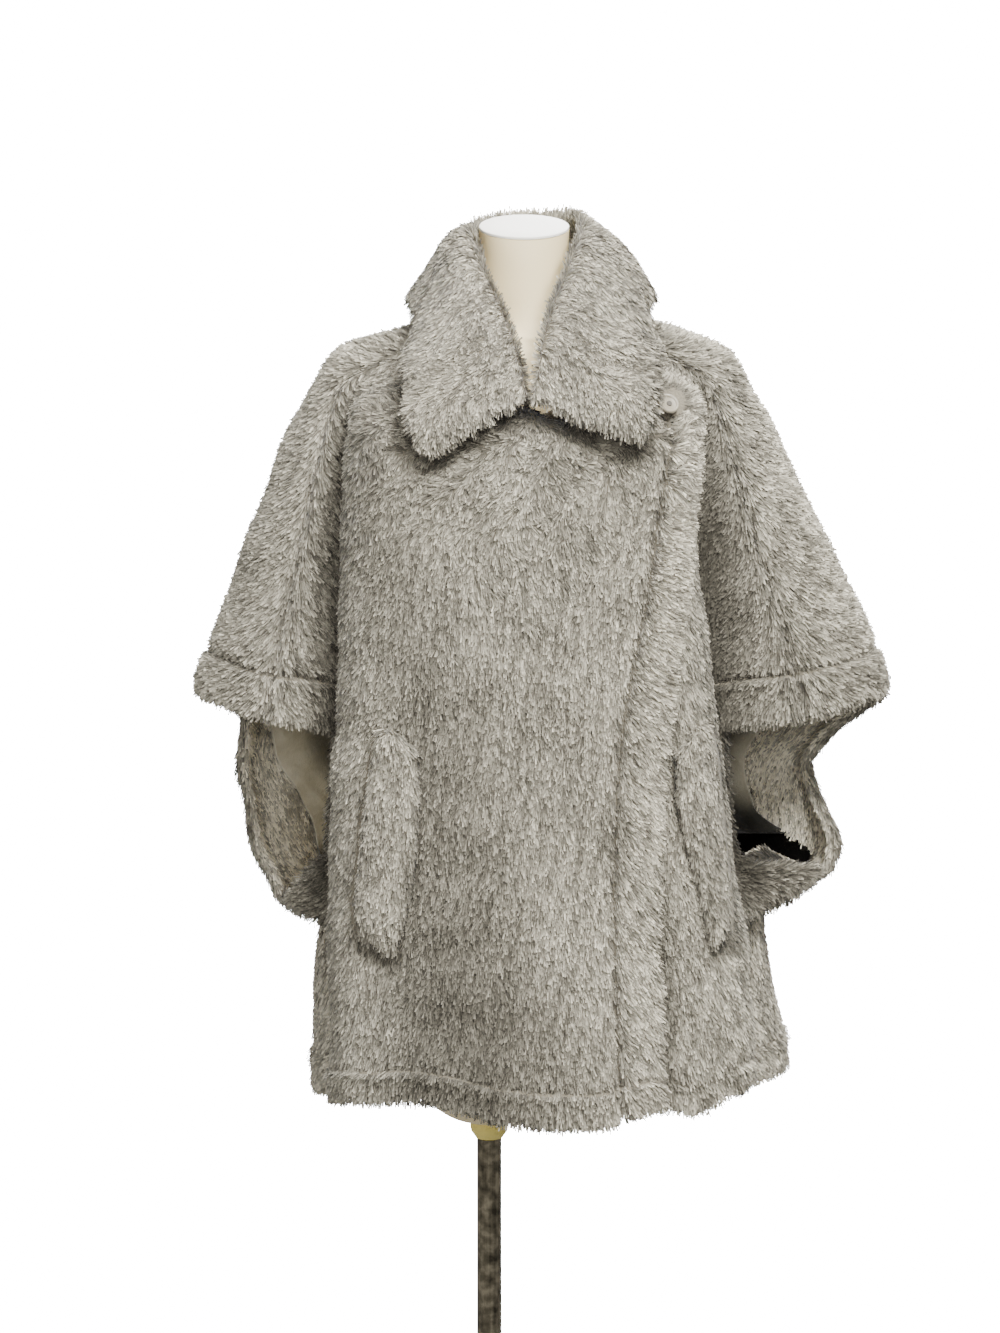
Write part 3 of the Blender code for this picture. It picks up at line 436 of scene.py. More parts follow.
class Sock:
    """One output socket in a node tree. a + b and a * b add Math nodes."""

    def __init__(self, tree, socket):
        self.tree, self.socket = tree, socket

    def node(self, kind, output=0, settings=None, **inputs):
        """Adds a node of this type. Settings come first, then values or links by socket name, or
        by i and the socket's number."""
        made = self.tree.nodes.new(kind)
        for key, value in (settings or {}).items():
            setattr(made, key, value)
        for key, value in inputs.items():
            target = made.inputs[int(key[1:]) if key[1:].isdigit() else key.replace("_", " ")]
            if isinstance(value, Sock):
                self.tree.links.new(value.socket, target)
            else:
                target.default_value = value
        return Sock(self.tree, made.outputs[output])

    def math(self, operation, other):
        """A Math node between this value and another value or number."""
        return self.node("ShaderNodeMath", settings={"operation": operation}, i0=self, i1=other)

    def __add__(self, other):
        return self.math("ADD", other)

    def __mul__(self, other):
        return self.math("MULTIPLY", other)

    __radd__ = __add__

    def place(self):
        """The place on the object, in metres."""
        return self.node("ShaderNodeTexCoord", 3)

    def attribute(self, name):
        """A value that the mesh carries at each point."""
        return self.node("ShaderNodeAttribute", 2, {"attribute_name": name})

    def noise(self, scale, detail, **more):
        """Noise at this place, about this many features a metre."""
        return self.node("ShaderNodeTexNoise", Vector=self, Scale=scale, Detail=detail, **more)

    def blend(self, dark, light):
        """A colour between two others, by this value."""
        mix = {"data_type": "RGBA"}
        return self.node("ShaderNodeMix", 2, mix, Factor=self, i6=colour_of(dark), i7=colour_of(light))

    def ramp(self, *stops):
        """A colour between several, by this value. Each stop is a place and a picked colour."""
        read = self.node("ShaderNodeValToRGB", Fac=self)
        elements = read.socket.node.color_ramp.elements
        for element, (place, colour) in zip(elements, (stops[0], stops[-1])):
            element.position, element.color = place, colour_of(colour)
        for place, colour in stops[1:-1]:
            elements.new(place).color = colour_of(colour)
        return read


def colour_of(value):
    """A picked screen colour (0 to 255) as linear red, green, blue, alpha. Links pass through."""
    if isinstance(value, Sock):
        return value
    part = np.array(value) / 255
    return (*np.where(part > 0.04045, ((part + 0.055) / 1.055) ** 2.4, part / 12.92), 1.0)


def finish(name, colour, rough=0.8, **constants):
    """A Principled material. Constants go straight onto its sockets. Returns it and a Sock."""
    made = bpy.data.materials.new(name)
    made.use_nodes = True
    shader = made.node_tree.nodes["Principled BSDF"]
    shader.inputs["Base Color"].default_value = colour_of(colour)
    shader.inputs["Roughness"].default_value = rough
    for key, value in constants.items():
        shader.inputs[key.replace("_", " ")].default_value = value
    start = Sock(made.node_tree, None)
    start.shader = shader
    return made, start


def feed(start, name, value):
    """Links a worked-out value into the material's shader."""
    start.tree.links.new(value.socket, start.shader.inputs[name])


def bump(start, height, strength, distance):
    """Bends the shader's normal by a height. The distance is in metres."""
    raised = {"Height": height, "Strength": strength, "Distance": distance}
    feed(start, "Normal", start.node("ShaderNodeBump", **raised))


# %% [markdown]
# ## Finishes
#
# Long wool pile is lighter and drier at its tips than at its roots, where little light
# reaches. A picture of wool would stretch and repeat over the folds. So each lock carries a
# tone that grows from root to tip, and the finish blends two greys by it. A fine streaky bump
# along the lock stands for its single fibres. The soft velvet edge light comes from the
# sheen.

# %% Pile and cloth finishes
PILE_DARK, PILE_LIGHT = (44, 41, 32), (226, 218, 196)


def pile_finish():
    """Dry wool, lighter with the lock's tone, in patches, with streaks along the lock."""
    made, start = finish(
        "pile", PILE_LIGHT, 0.92, Sheen_Weight=0.25, Sheen_Roughness=0.5, Specular_IOR_Level=0.2
    )
    patch = start.place().noise(9.0, 3.0)
    feed(start, "Base Color", (start.attribute("tone") * (patch * 0.36 + 0.82)).blend(PILE_DARK, PILE_LIGHT))
    along = start.node("ShaderNodeUVMap", settings={"uv_map": "strand"})
    bump(start, along.noise(6.0, 2.0), 0.35, 0.0006)
    return made


def backing_finish(name, dark, light, shaded=False):
    """What shows between the locks: the same wool, matt, and painted darker with the shade that falls
    between the locks. Inside a sleeve it is shaded: its tone paints it black towards the places that no
    light reaches."""
    sheen = 0.0 if shaded else 0.2
    made, start = finish(name, light, 0.95, Sheen_Weight=sheen, Specular_IOR_Level=0.05)
    curl = start.place().noise(420.0, 3.0)
    colour = curl.blend(dark, light)
    if shaded:
        colour = start.attribute("tone").blend((7, 6, 5), colour)
    feed(start, "Base Color", colour)
    bump(start, curl, 0.9, 0.0015)
    return made


def satin_finish():
    """Lining satin: smooth, faintly ribbed, with a soft shine and small creases. Its colour is painted
    darker in the troughs of its creases, and painted black with shade where its tone is low.
    """
    made, start = finish("lining satin", (184, 178, 157), 0.42, Sheen_Weight=0.3, Anisotropic=0.4)
    place = start.place()
    crease, weave = place.noise(34.0, 3.0, Distortion=0.7), place.noise(900.0, 1.0)
    lit = crease.blend((158, 152, 132), (206, 199, 177))
    feed(start, "Base Color", start.attribute("tone").blend((10, 9, 7), lit))
    feed(start, "Roughness", crease * 0.22 + 0.34)
    bump(start, crease * 0.85 + weave * 0.15, 0.6, 0.004)
    return made


PILE = pile_finish()
BACKING = backing_finish("pile backing", (96, 91, 78), (138, 131, 114))
# Inside the sleeves the backing is lighter than the coat's: painted light where little light gets in. Its
# tone adds painted shade.
FACING_BACKING_LIT_AND_SHADED = backing_finish("pile facing backing", (116, 111, 98), (154, 148, 130), True)
SATIN = satin_finish()

# %% Hard finishes


def form_finish(name, dark, light, rough):
    """Smooth painted shell of the form, a little worn and uneven."""
    made, start = finish(name, light, rough, Coat_Roughness=0.4)
    place = start.place()
    grain = place.noise(240.0, 2.0)
    feed(start, "Base Color", place.noise(7.0, 4.0).blend(dark, light))
    feed(start, "Roughness", grain * 0.16 + (rough - 0.08))
    bump(start, grain, 0.12, 0.0006)
    return made


def steel_finish():
    """Dark steel with rusty mottling and fine lines along the pole."""
    made, start = finish("dark steel", (86, 80, 67), 0.4, Metallic=0.8)
    place = start.place()
    long = start.node("ShaderNodeMapping", Vector=place, Scale=(260.0, 260.0, 9.0))
    mottle = place.noise(90.0, 5.0)
    both = mottle * 0.7 + long.noise(1.0, 3.0) * 0.3
    rust = both.ramp((0.36, (62, 57, 45)), (0.5, (108, 101, 84)), (0.62, (150, 141, 120)))
    feed(start, "Base Color", rust)
    feed(start, "Roughness", mottle * 0.35 + 0.3)
    bump(start, both, 0.3, 0.0005)
    return made


FORM_PAINT = form_finish("form paint", (241, 221, 173), (251, 233, 187), 0.5)
# The cap is whiter and lighter than the form's paint: painted light on its top, which faces the lamps.
LIT_CAP_PAINT = form_finish("cap paint", (252, 249, 238), (255, 253, 245), 0.5)
SOCKET_PLASTIC = form_finish("socket plastic", (228, 207, 106), (246, 228, 128), 0.45)
PLATE_PAINT = form_finish("plate paint", (126, 126, 126), (142, 142, 140), 0.45)
HORN = form_finish("horn", (122, 115, 98), (158, 150, 131), 0.35)
STEEL = steel_finish()
print("finishes:", [m.name for m in bpy.data.materials if m.name.islower()])

# %% [markdown]
# ## Locks of pile
#
# Long pile lies in small locks of fibres that start together and part at their tips. Hair
# curves would be finer, but they aren't kept as a mesh. Here each lock is three flat fibres, a
# triangle each, so a coat of them stays light and its ragged outline is real. Roots are spread
# over the shell by walking along its faces and dropping one each time the same area has gone
# by. Each lock leans along the combed direction of its place and lifts a little off the cloth.

# %% Roots and locks


def roots_on(points, faces, share, spacing):
    """Corners and weights for roots about this far apart. Roots are dealt out along the faces,
    one for each equal share of area, and steps of irrational size spread them in each face."""
    a, b, c, d = (points[faces[:, k]] for k in range(4))
    area = np.linalg.norm(np.cross(c - a, d - b), axis=-1) / 2 * share[faces].mean(1)
    total = np.cumsum(area) / spacing**2
    number = np.arange(int(total[-1]))
    chosen = np.searchsorted(total, number + 0.5)
    u, v = np.mod(0.5 + number[:, None] * np.array([0.7548776662, 0.5698402910]), 1).T
    return faces[chosen], np.stack([(1 - u) * (1 - v), u * (1 - v), u * v, (1 - u) * v], -1)


def lock_mesh(name, root, up, way, length, width, tone, rng):
    """All locks in one mesh. Each lock is three flat fibres, a triangle each, that start side by
    side and splay a little: two run to a point and the one between them is blunt. Each is rolled
    about its own line, so that it catches the light in its own way."""
    count = len(root)
    across = np.cross(up, way)
    corners, shades = [], []
    for place in (-1, 0, 1):
        splay = np.radians(rng.normal(4 * place, 6, (count, 1)))
        roll = rng.uniform(-0.6, 0.6, (count, 1))
        line = way * np.cos(splay) + across * np.sin(splay)
        side = (np.cross(up, line) * np.cos(roll) + up * np.sin(roll)) * 0.62 * width[:, None]
        long = (length * rng.uniform(0.8, 1.15, count))[:, None]
        lift = rng.uniform(0.12, 0.34, (count, 1)) * long
        start = root + across * (0.4 * place * width)[:, None] + way * rng.uniform(-1.5, 1.5, (count, 1))
        start, end = start - up * 0.6, start + line * 0.95 * long + up * lift
        light = tone * rng.uniform(0.86, 1.14, count)
        if place:
            corners += [start + side * 0.5, start - side * 0.5, end]
            shades += [0.62 * light, 0.62 * light, 1.02 * light]
        else:
            corners += [start, end - side * 0.5, end + side * 0.5]
            shades += [0.5 * light, 0.96 * light, 0.96 * light]
    points = np.stack(corners, 1).reshape(-1, 3)
    made = mesh_object(name, points, [np.arange(9 * count).reshape(-1, 3)])
    write_tone(made, np.stack(shades, 1))
    uv = np.array([[0, 0], [1, 0], [0.5, 1]]) * [1.0, 0.45]
    uv = uv[None] + rng.integers(0, 97, (3 * count, 1, 2))
    layer = made.data.uv_layers.new(name="strand")
    layer.data.foreach_set("uv", uv.astype(np.float32).ravel())
    return settle(made, [PILE])


# %% Growing the locks on a shell
GROWN = []


def shell_points(shell):
    """Points in millimetres and their normals, read from the mesh."""
    mesh = shell.data
    points, normals = np.empty((2, len(mesh.vertices) * 3), np.float32)
    mesh.vertices.foreach_get("co", points)
    mesh.vertex_normals.foreach_get("vector", normals)
    return points.reshape(-1, 3).astype(float) / MM, normals.reshape(-1, 3).astype(float)


def tuft_ridge(root, way):
    """How near each root is to the ridge of a tuft. Fine noise is averaged over a few places
    along the pile, so it forms short streaks: about 1 on a ridge and -1 in a parting."""
    steps = (-4.0, -2.0, 0.0, 2.0, 4.0)
    return 0.4 * sum(ripple(root + way * step, 4.8, 4, 24) for step in steps)


def grow(name, shell, faces, fields, trim, spacing=2.0, length=10.0, width=2.4, seed=1):
    """Locks over these faces of a shell. Each field has a value at every point of it: comb is
    the way the pile lies, out is the cloth's outer side, share thins the locks. trim takes the
    roots and a reader of fields, and returns what stays, its length, its tone and its curl."""
    points, normals = shell_points(shell)
    corners, weights = roots_on(points, faces, fields["share"], spacing)

    def read(field):
        return (field[corners] * weights.reshape(weights.shape + (1,) * (field.ndim - 1))).sum(1)

    root = read(points)
    stays, size, shade, curly = trim(root, {key: read(field) for key, field in fields.items()})
    corners, weights, root = corners[stays], weights[stays], root[stays]
    size, shade, curly = size[stays], shade[stays], curly[stays]
    rng = np.random.default_rng(seed)
    count = len(root)
    normal, way = unit(read(normals)), unit(read(fields["comb"]))
    swirl = 5 * ripple(root, 30, 7) + 5 * ripple(root, 11, 9)
    stray = np.radians(rng.normal(0, 7, count) + swirl * curly)
    way = unit(way - normal * np.minimum((way * normal).sum(-1, keepdims=True), 0))
    way = unit(way * np.cos(stray)[:, None] + np.cross(normal, way) * np.sin(stray)[:, None])
    ridge = tuft_ridge(root, way)
    across = np.cross(normal, way)
    slope = tuft_ridge(root + 0.8 * across, way) - tuft_ridge(root - 0.8 * across, way)
    way = unit(way + across * 0.07 * slope[:, None])
    root = root + normal * 0.2 * np.clip(ridge, -1.5, 1.5)[:, None]
    upright = normal - way * (normal * way).sum(-1, keepdims=True)
    upright = unit(upright + 0.05 * unit(read(fields["out"])))
    patch = 0.035 * ripple(root, 60, 3)
    # Tone is painted lighter on the ridges of the tufts and darker in their partings, as painted shade. The
    # rest of the unevenness is random tone.
    uneven = 0.38 + patch + 0.12 * ridge + rng.uniform(-0.27, 0.27, count)
    shade = shade * np.clip(uneven, 0.06 + 0.08 * shade, 1.0)
    size = length * size * rng.uniform(0.8, 1.25, count)
    wide = width * rng.uniform(0.8, 1.25, count)
    made = lock_mesh(name, root, upright, way, size, wide, shade, rng)
    GROWN.append(made)
    print(f"{name}: {count} locks, {3 * count} faces")
    return made

# %% [markdown]
# ## Panels
#
# A panel is one cut piece of pile cloth with its lining. It could be as thick as the solid,
# but then the pile would stand outside the outline. So the shell's outer face lies a few
# millimetres inside the solid's, and the tips of the pile reach the outline. Its free edges
# stop short for the same reason. Where the hem, the cuffs and the lap are turned in and
# stitched, the shell swells a little and then dips sharply along the stitching, and the
# locks there are short.

# %% Sizes of a panel
SKIN_OUT, SKIN_IN = 1.8, -4.4  # faces of the shell, from the middle of the cloth
EDGE_IN = 4.2  # how far the shell stops short of a free edge
TURNED, STITCH_DIP = 2.4, 3.0  # how far a turned edge stands out, and its stitching sinks in
SHOULDER_DIP = 3.2  # how far the shell lies lower where the sleeve starts
# lines of the back from the sleeve's fold inwards, and rings of all panels
BACK_STOPS = (7, 7.12, 7.4, 7.75, 7.85, 8.3, 8.8, 9.3, 9.8, 10.4)
RING_STOPS = np.array(
    [0, 0.45, 1, 1.6, 2.2, 3, 3.8, 4.6, 5.4, 5.84, 6, 6.16, 6.82, 6.9]
    + [7.35, 8, 8.7, 9.4, 10, 10.5, 11, 11.5, 12, 12.5, 13, 13.4, 14, 15, 15.82]
    + [16, 16.18, 16.72, 16.79]
)
FINE = 3
RINGS = finer(RING_STOPS, FINE)
CUFF_STOP = 6.9  # the last ring of the sleeve, where its opening starts
FAR = 99.0  # mm, past the reach of every effect
print("rings of a panel:", len(RINGS))

# %% Where a panel's lines run and its pile leans


def arm_reach(ring, hand):
    """The line that a front panel reaches on the right (-1) or the left (1)."""
    rings, right, left = zip(*ARM_EDGE)
    return np.interp(ring, rings, left if hand > 0 else right)


def lines_inward(ring, x, insets):
    """Lines on the left front: the one that passes x at this ring, and those set in from it."""
    fine = np.linspace(0, CREST, 61)
    points = on_coat(fine, ring)[0]
    length = np.concatenate([[0], np.cumsum(np.linalg.norm(np.diff(points, axis=0), axis=1))])
    return np.interp(np.interp(x, points[:, 0], length) - np.array(insets), length, fine)


def lap_lift(line):
    """How far the lap stands out over the left front. It is level with it at the centre."""
    return (WALL + LAP_GAP) * ease((line - 0.8) / 1.0)


def comb_angle(line, ring):
    """Degrees that the pile leans from straight down, positive towards rising lines. It fans
    out on the body, parts along the overarm seam and falls straight at the back."""
    line = signed(line)
    m, hand = np.abs(line), np.sign(line)
    body = 7.0 * np.minimum(m, 4)
    at_seam = ease(np.abs(m - OVERARM) / 0.22)
    to_body = -44.0 * at_seam * ease((m - 4.15) / 0.4) + body * (1 - ease((m - 4.0) / 0.4))
    away = (40.0 + 22 * ease((m - 5.4) / 1.0) - 50 * ease((m - 7.2) / 2)) * at_seam
    sleeve = np.where(m < OVERARM, to_body, away)
    above = ease((7.4 - ring) / 0.8)
    return hand * (sleeve * above + np.where(m < 5, body, 8.0) * (1 - above))


# %% Panel helper


def panel(name, line, ring, lift, swollen, present, inside_pile, turn=0.0, inset=FAR, inside_tone=1.0):
    """A soft shell over grids of lines and rings. Returns it, the faces that carry pile and the
    fields that the pile follows."""
    grids = (line, ring, lift, swollen, inside_pile, turn, inset, inside_tone)
    grids = [np.broadcast_to(g, line.shape) for g in grids]
    if line[0, 0] > line[0, -1]:
        grids, present = [g[:, ::-1] for g in grids], present[:, ::-1]
    line, ring, lift, swollen, inside_pile, turn, inset, inside_tone = grids
    middle, outward = on_coat(line, ring)
    uneven = 1.1 * ripple(middle, 150, 3) + 0.7 * ripple(middle, 60, 4)
    rim = rim_points(present)
    thick = np.where(rim, 0.35, 1.0)
    centre = (SKIN_OUT + SKIN_IN) / 2
    out = centre + (SKIN_OUT - centre) * thick + np.where(rim, np.minimum(swollen, 0), swollen)
    inner = centre + (SKIN_IN - centre) * thick
    m = np.abs(signed(line))
    out = out - SHOULDER_DIP * swell((m - 6.4) / 2.6) * (1 - ease((ring - 2.2) / 1.6))
    base = lift + uneven
    outside, inside = (middle + outward * (base + depth)[..., None] for depth in (out, inner))
    points = wall_points(outside, inside)
    outer, under, edge = wall_faces(present)
    lined = ~inside_pile[:-1, :-1][present]
    finish_of_face = np.concatenate([np.zeros(len(outer)), np.where(lined, 1, 2), np.zeros(len(edge))])
    made = mesh_object(name, points, [outer, under, edge], finish_of_face)
    # The inner face carries inside_tone: painted shade deep inside the sleeves and the strap.
    write_tone(made, np.concatenate([np.ones(line.size), inside_tone.ravel()]))
    angle = np.radians(comb_angle(line, ring) + turn)
    down = np.gradient(middle, axis=0)
    down = unit(down - outward * (down * outward).sum(-1, keepdims=True))
    comb = down * np.cos(angle)[..., None] + np.cross(outward, down) * np.sin(angle)[..., None]
    fields = {"comb": comb, "line": line, "ring": ring, "inset": inset}
    fields = {key: both_faces(field) for key, field in fields.items()}
    fields["out"] = wall_points(outward, -outward)
    fields["inner"] = np.repeat([0.0, 1.0], line.size)
    fields["past"] = np.full(2 * line.size, FAR)
    settle(made, [BACKING, SATIN, FACING_BACKING_LIT_AND_SHADED], name.replace("coat_", ""))
    round_way, down_way = middle[:-1, 1:] - middle[:-1, :-1], middle[1:, :-1] - middle[:-1, :-1]
    cloth = np.linalg.norm(np.cross(round_way, down_way), axis=-1)[present].sum()
    print(f"{name}: {len(points)} points, cloth {cloth / 1e6:.3f} square metres")
    return made, np.concatenate([outer, under[~lined], edge]), fields


def band(ring):
    """Swelling of a turned edge: full between stitching and edge, and a dip on the stitching."""
    cuff = np.where((ring > 6.1) & (ring < 6.95), TURNED, 0.0)
    cuff = cuff - STITCH_DIP * swell((ring - CUFF_STITCH) / 0.13)
    hem = np.where(ring > 16.1, TURNED, 0.0) - STITCH_DIP * swell((ring - HEM_STITCH) / 0.15)
    return cuff, hem


def turned_in(line, ring):
    """True where a front's hem or cuff is turned in, so that its inner side carries pile."""
    cuff = (np.abs(line) > SLEEVE_FROM) & (ring > CUFF_STITCH) & (ring < CUFF)
    return (ring > HEM_STITCH) | cuff


# %% [markdown]
# ### The fronts
#
# Each front is cut in one with the front half of its sleeve. The right front laps over the
# left one, and its edge is turned in and stitched 42 mm back. The lap slants across the rings
# and lines, so its first lines are measured in from the edge. The pile is combed towards the
# edge there.

# %% Right front with its lap


def front_lines(hand, first, rings):
    """Lines of a front panel for each ring, from its inner edge to the overarm seam."""
    body = hand * finer([0.35, 0.7, 1, 1.35, 1.7, 2, 2.3, 2.6, 2.8, 3, 3.2, 3.5, 3.75, 4.0], 2)
    reach = arm_reach(rings, hand)
    hook = hand * (4 + (reach[:, None] - 4) * np.array([0.25, 0.5, 0.75, 1.0]))
    seam = np.full(len(rings), OVERARM - 0.01)
    share = np.array([0.15, 0.3, 0.45, 0.6, 0.78, 0.93, 1.0])
    sleeve = hand * (HOOK + (seam[:, None] - HOOK) * share)
    return np.concatenate([first, np.broadcast_to(body, (len(rings), len(body))), hook, sleeve], 1)


SLEEVE_COLUMNS = 7


def front_cells(columns_count):
    """All cells of a front but the sleeve below its cuff."""
    present = np.ones((len(RINGS) - 1, columns_count - 1), bool)
    present[RINGS[:-1] >= CUFF_STOP - 1e-6, columns_count - 1 - SLEEVE_COLUMNS :] = False
    return present


low = np.where(RINGS < 3, LAP_TOP + RINGS * (3 - LAP_TOP) / 3, RINGS)
edge_x = glide(low, *zip(*LAP_EDGE))
LAP_INSETS = (0, 1.5, 6, 13, 20, 27, 34, 38.5, 40.5, 42, 43.5, 45.5, 49)
set_in = np.array(LAP_INSETS) + EDGE_IN * (np.array(LAP_INSETS) < 30)
lap = np.array([lines_inward(r, x, set_in) for r, x in zip(low, edge_x)])
shares = np.array([0.84, 0.68, 0.52, 0.36, 0.18, 0.0])
line = front_lines(-1, np.concatenate([lap, lap[:, -1:] * shares], 1), RINGS)
top = LAP_TOP * np.clip(line / lap[:, :1], 0, 1) ** 0.8
ring = np.broadcast_to(RINGS[:, None], line.shape)
warped = np.where(ring < 3, top + ring * (3 - top) / 3, ring)
cuff, hem = band(ring)
swollen = hem + np.where(np.abs(line) > SLEEVE_FROM, cuff, 0.0)
inset = np.full(line.shape, FAR)
inset[:, : len(LAP_INSETS)] = LAP_INSETS
swollen = swollen + np.where(inset < 38, TURNED * 0.8, 0.0) - STITCH_DIP * swell((inset - 42) / 4.0)
lap_turn = np.where(inset < 60, 1.0, 0.0) * (74 - 44 * ease((ring - 2) / 8))
lap_turn = lap_turn * ease((46 - inset) / 8)
front_right, pile_faces_right, fields_right = panel(
    "coat_front_right", line, warped, lap_lift(line), swollen, front_cells(line.shape[1]),
    turned_in(line, ring) | (inset < 44), lap_turn, inset,
)  # fmt: skip

# %% Left front
first = np.broadcast_to([-0.35, -0.18, 0.0, 0.18], (len(RINGS), 4))
line = front_lines(1, first, RINGS)
ring = np.broadcast_to(RINGS[:, None], line.shape)
ring = ring - np.maximum(ring - 16.18, 0) * 0.35 * swell((line - 2.0) / 1.6)
cuff, hem = band(ring)
swollen = np.where(line < 2.2, np.minimum(hem, 0), hem) + np.where(line > SLEEVE_FROM, cuff, 0.0)
# The inside of the strap at the bottom of the left cuff is painted dark with shade.
inside_strap = (line > 4.25) & (ring > 9.8) & (ring < 14)
front_left, pile_faces_left, fields_left = panel(
    "coat_front_left", line, ring, lap_lift(line) - WALL - LAP_GAP, swollen,
    front_cells(line.shape[1]), turned_in(line, ring) | inside_strap,
    inside_tone=np.where(inside_strap, 0.25, 1.0),
)  # fmt: skip

# %% [markdown]
# ### The back
#
# The back is one piece with the back halves of both sleeves. Under each cuff its edge is
# turned in, so pile shows on the inside as a strip before the lining starts. The strip could
# be a piece of its own, but on the coat it is the same cloth, so the shell's inner face
# carries pile there. Deep in the left cuff no light arrives, and the shell turns black.

# %% Back
FACING_STITCH = 7.85  # the line of the stitching beside the arm slit
# ring stops and the lines there: where the pile facing inside each sleeve ends
FACING_EDGES = {
    -1: ((5.8, 7.8, 8.7, 9.3, 9.8, 10.4, 10.9, 13.2), (8.2, 8.24, 8.44, 8.64, 8.82, 8.96, 9.04, 9.04)),
    1: (
        (5.8, 7.5, 8.0, 8.5, 9.6, 10.3, 10.8, 11.3, 11.8, 13.2),
        (8.7, 8.74, 8.92, 9.02, 9.02, 8.94, 8.66, 8.2, 7.92, 7.9),
    ),
}


def facing_edge(ring, hand):
    """The line where the pile facing inside a sleeve ends and the satin starts."""
    right, left = (np.interp(ring, *FACING_EDGES[h]) for h in (-1, 1))
    return np.where(hand > 0, left, right)


halves = []
for hand in (1, -1):
    under = arm_reach(RINGS, hand) + 0.06
    start = np.where(RINGS <= CUFF_STOP + 1e-6, OVERARM + 0.01, under)[:, None]
    slit = (RINGS > CUFF_STOP) & (RINGS < UNDERARM)
    outer_edge = np.where(slit, OUTER + 0.09, OUTER)[:, None]
    edge_part = start + (outer_edge - start) * np.array([0, 0.05, 0.2, 0.35, 0.52, 0.7, 0.85])
    rest = np.broadcast_to(finer(BACK_STOPS, 2), (len(RINGS), 2 * len(BACK_STOPS) - 1)).copy()
    rest[:, :1] = outer_edge
    halves.append(hand * np.concatenate([edge_part, rest], 1))
middle_line = np.full((len(RINGS), 1), float(BACK_MID))
strip = middle_line + [-0.3, 0.0, 0.3]
line = np.concatenate([halves[0], strip, LINES_ROUND + halves[1][:, ::-1]], 1)
ring = np.broadcast_to(RINGS[:, None], line.shape)
present = np.ones((line.shape[0] - 1, line.shape[1] - 1), bool)
open_rings = (RINGS[:-1] >= CUFF_STOP - 1e-6) & (RINGS[:-1] < UNDERARM)
present[open_rings, :7] = present[open_rings, -7:] = False
side = np.minimum(line, LINES_ROUND - line)
cuff, hem = band(ring)
slit = (ring > CUFF_STOP) & (ring < UNDERARM)
swollen = hem + np.where((side < 7.9) & (ring < CUFF), cuff, 0.0)
swollen = swollen + np.where(slit & (side < 7.8), TURNED, 0.0)
swollen = swollen - np.where(slit, STITCH_DIP, 0) * swell((side - FACING_STITCH) / 0.12)
edge_line = facing_edge(ring, np.where(line < BACK_MID, 1, -1))
facing = (side < edge_line + 0.3) & (ring > 5.8) & (ring < 13.2)
# Deep in the left cuff the facing's tone falls to black: painted shade.
dark_slot = (line < BACK_MID) & (ring > 9.2) & (ring < 13.9)
facing |= dark_slot & (side < 10.4)
inside_tone = np.where(dark_slot, 1 - ease((side - edge_line + 0.14) / 0.16), 1.0)
back, pile_faces_back, fields_back = panel(
    "coat_back", line, ring, 0 * line, swollen, present, (ring > HEM_STITCH) | facing,
    inside_tone=inside_tone,
)

# %% [markdown]
# ### The collar's path
#
# The collar rises from the neckline, rolls over and falls to a wide edge. A row of stations runs along it,
# and at each station a smooth profile passes the neckline, the roll line, the middle of the fall and the
# edge. The edge is laid on the coat's own surface, so it rests there without cutting in. The path comes
# before the pile, which is short where the collar presses on it and is painted dark with the collar's shadow
# below its rim.

# %% Collar shape
COLLAR_COLUMNS = "way roll_mid roll_x roll_y roll_z mid_x mid_y mid_z edge_x edge_y edge_z"
COLLAR = (
    (1.00, 38, 2.8, -126, 1271, 48, -146, 1250, 93, -146, 1222),
    (0.86, 36, 14.5, -106, 1326, 66, -132, 1296, 114, -112, 1256),
    (0.62, 34, 43, -58, 1396, 88, -72, 1354, 113, -66, 1290),
    (0.40, 35, 51, -6, 1422, 90, -6, 1388, 106, 0, 1336),
    (0.20, 42, 40, 44, 1433, 70, 76, 1403, 80, 106, 1326),
    (0.00, 45, 0, 62, 1436, 0, 104, 1408, 0, 142, 1314),
)
FALL_MID_X = 41
COLLAR_SPREAD = {-1: (1.0, 0.92), 1: (0.985, 0.90)}  # at the back, and at the front corners
EDGE_WAYS = (0.55, 0.64, 0.68, 0.73, 0.77, 0.82, 0.86, 0.91, 0.955, 1.0)
EDGE_ASIDE = {
    -1: (0, 2, 0, -3, -4, -4, -8, -11, -16, -8),
    1: (0, -5, -10, -8, -5, -3, 0, 7, 14, 15),
}
COLLAR_LIFT, CORNER_LIFT = {-1: -1.0, 1: 5.0}, {-1: 0.0, 1: 11.0}
COLLAR_REST, COLLAR_HALF, COLLAR_BASE, BACK_DROP = 17.5, 8.0, 1.8, 6


def rest_on_coat(points, clearance):
    """Moves points to above the coat's nearest sample, this far from its middle."""
    samples = SURFACE[: 6 * PER_RING].reshape(-1, 3)
    gaps = ((samples[None] - points[:, None]) ** 2).sum(-1)
    near = np.argmin(gaps, 1)
    at = near % SURFACE.shape[1] / PER_LINE
    lift = np.where(at < CREST, lap_lift(at), 0.0)
    return samples[near] + OUTWARD[: 6 * PER_RING].reshape(-1, 3)[near] * (clearance + lift)[:, None]


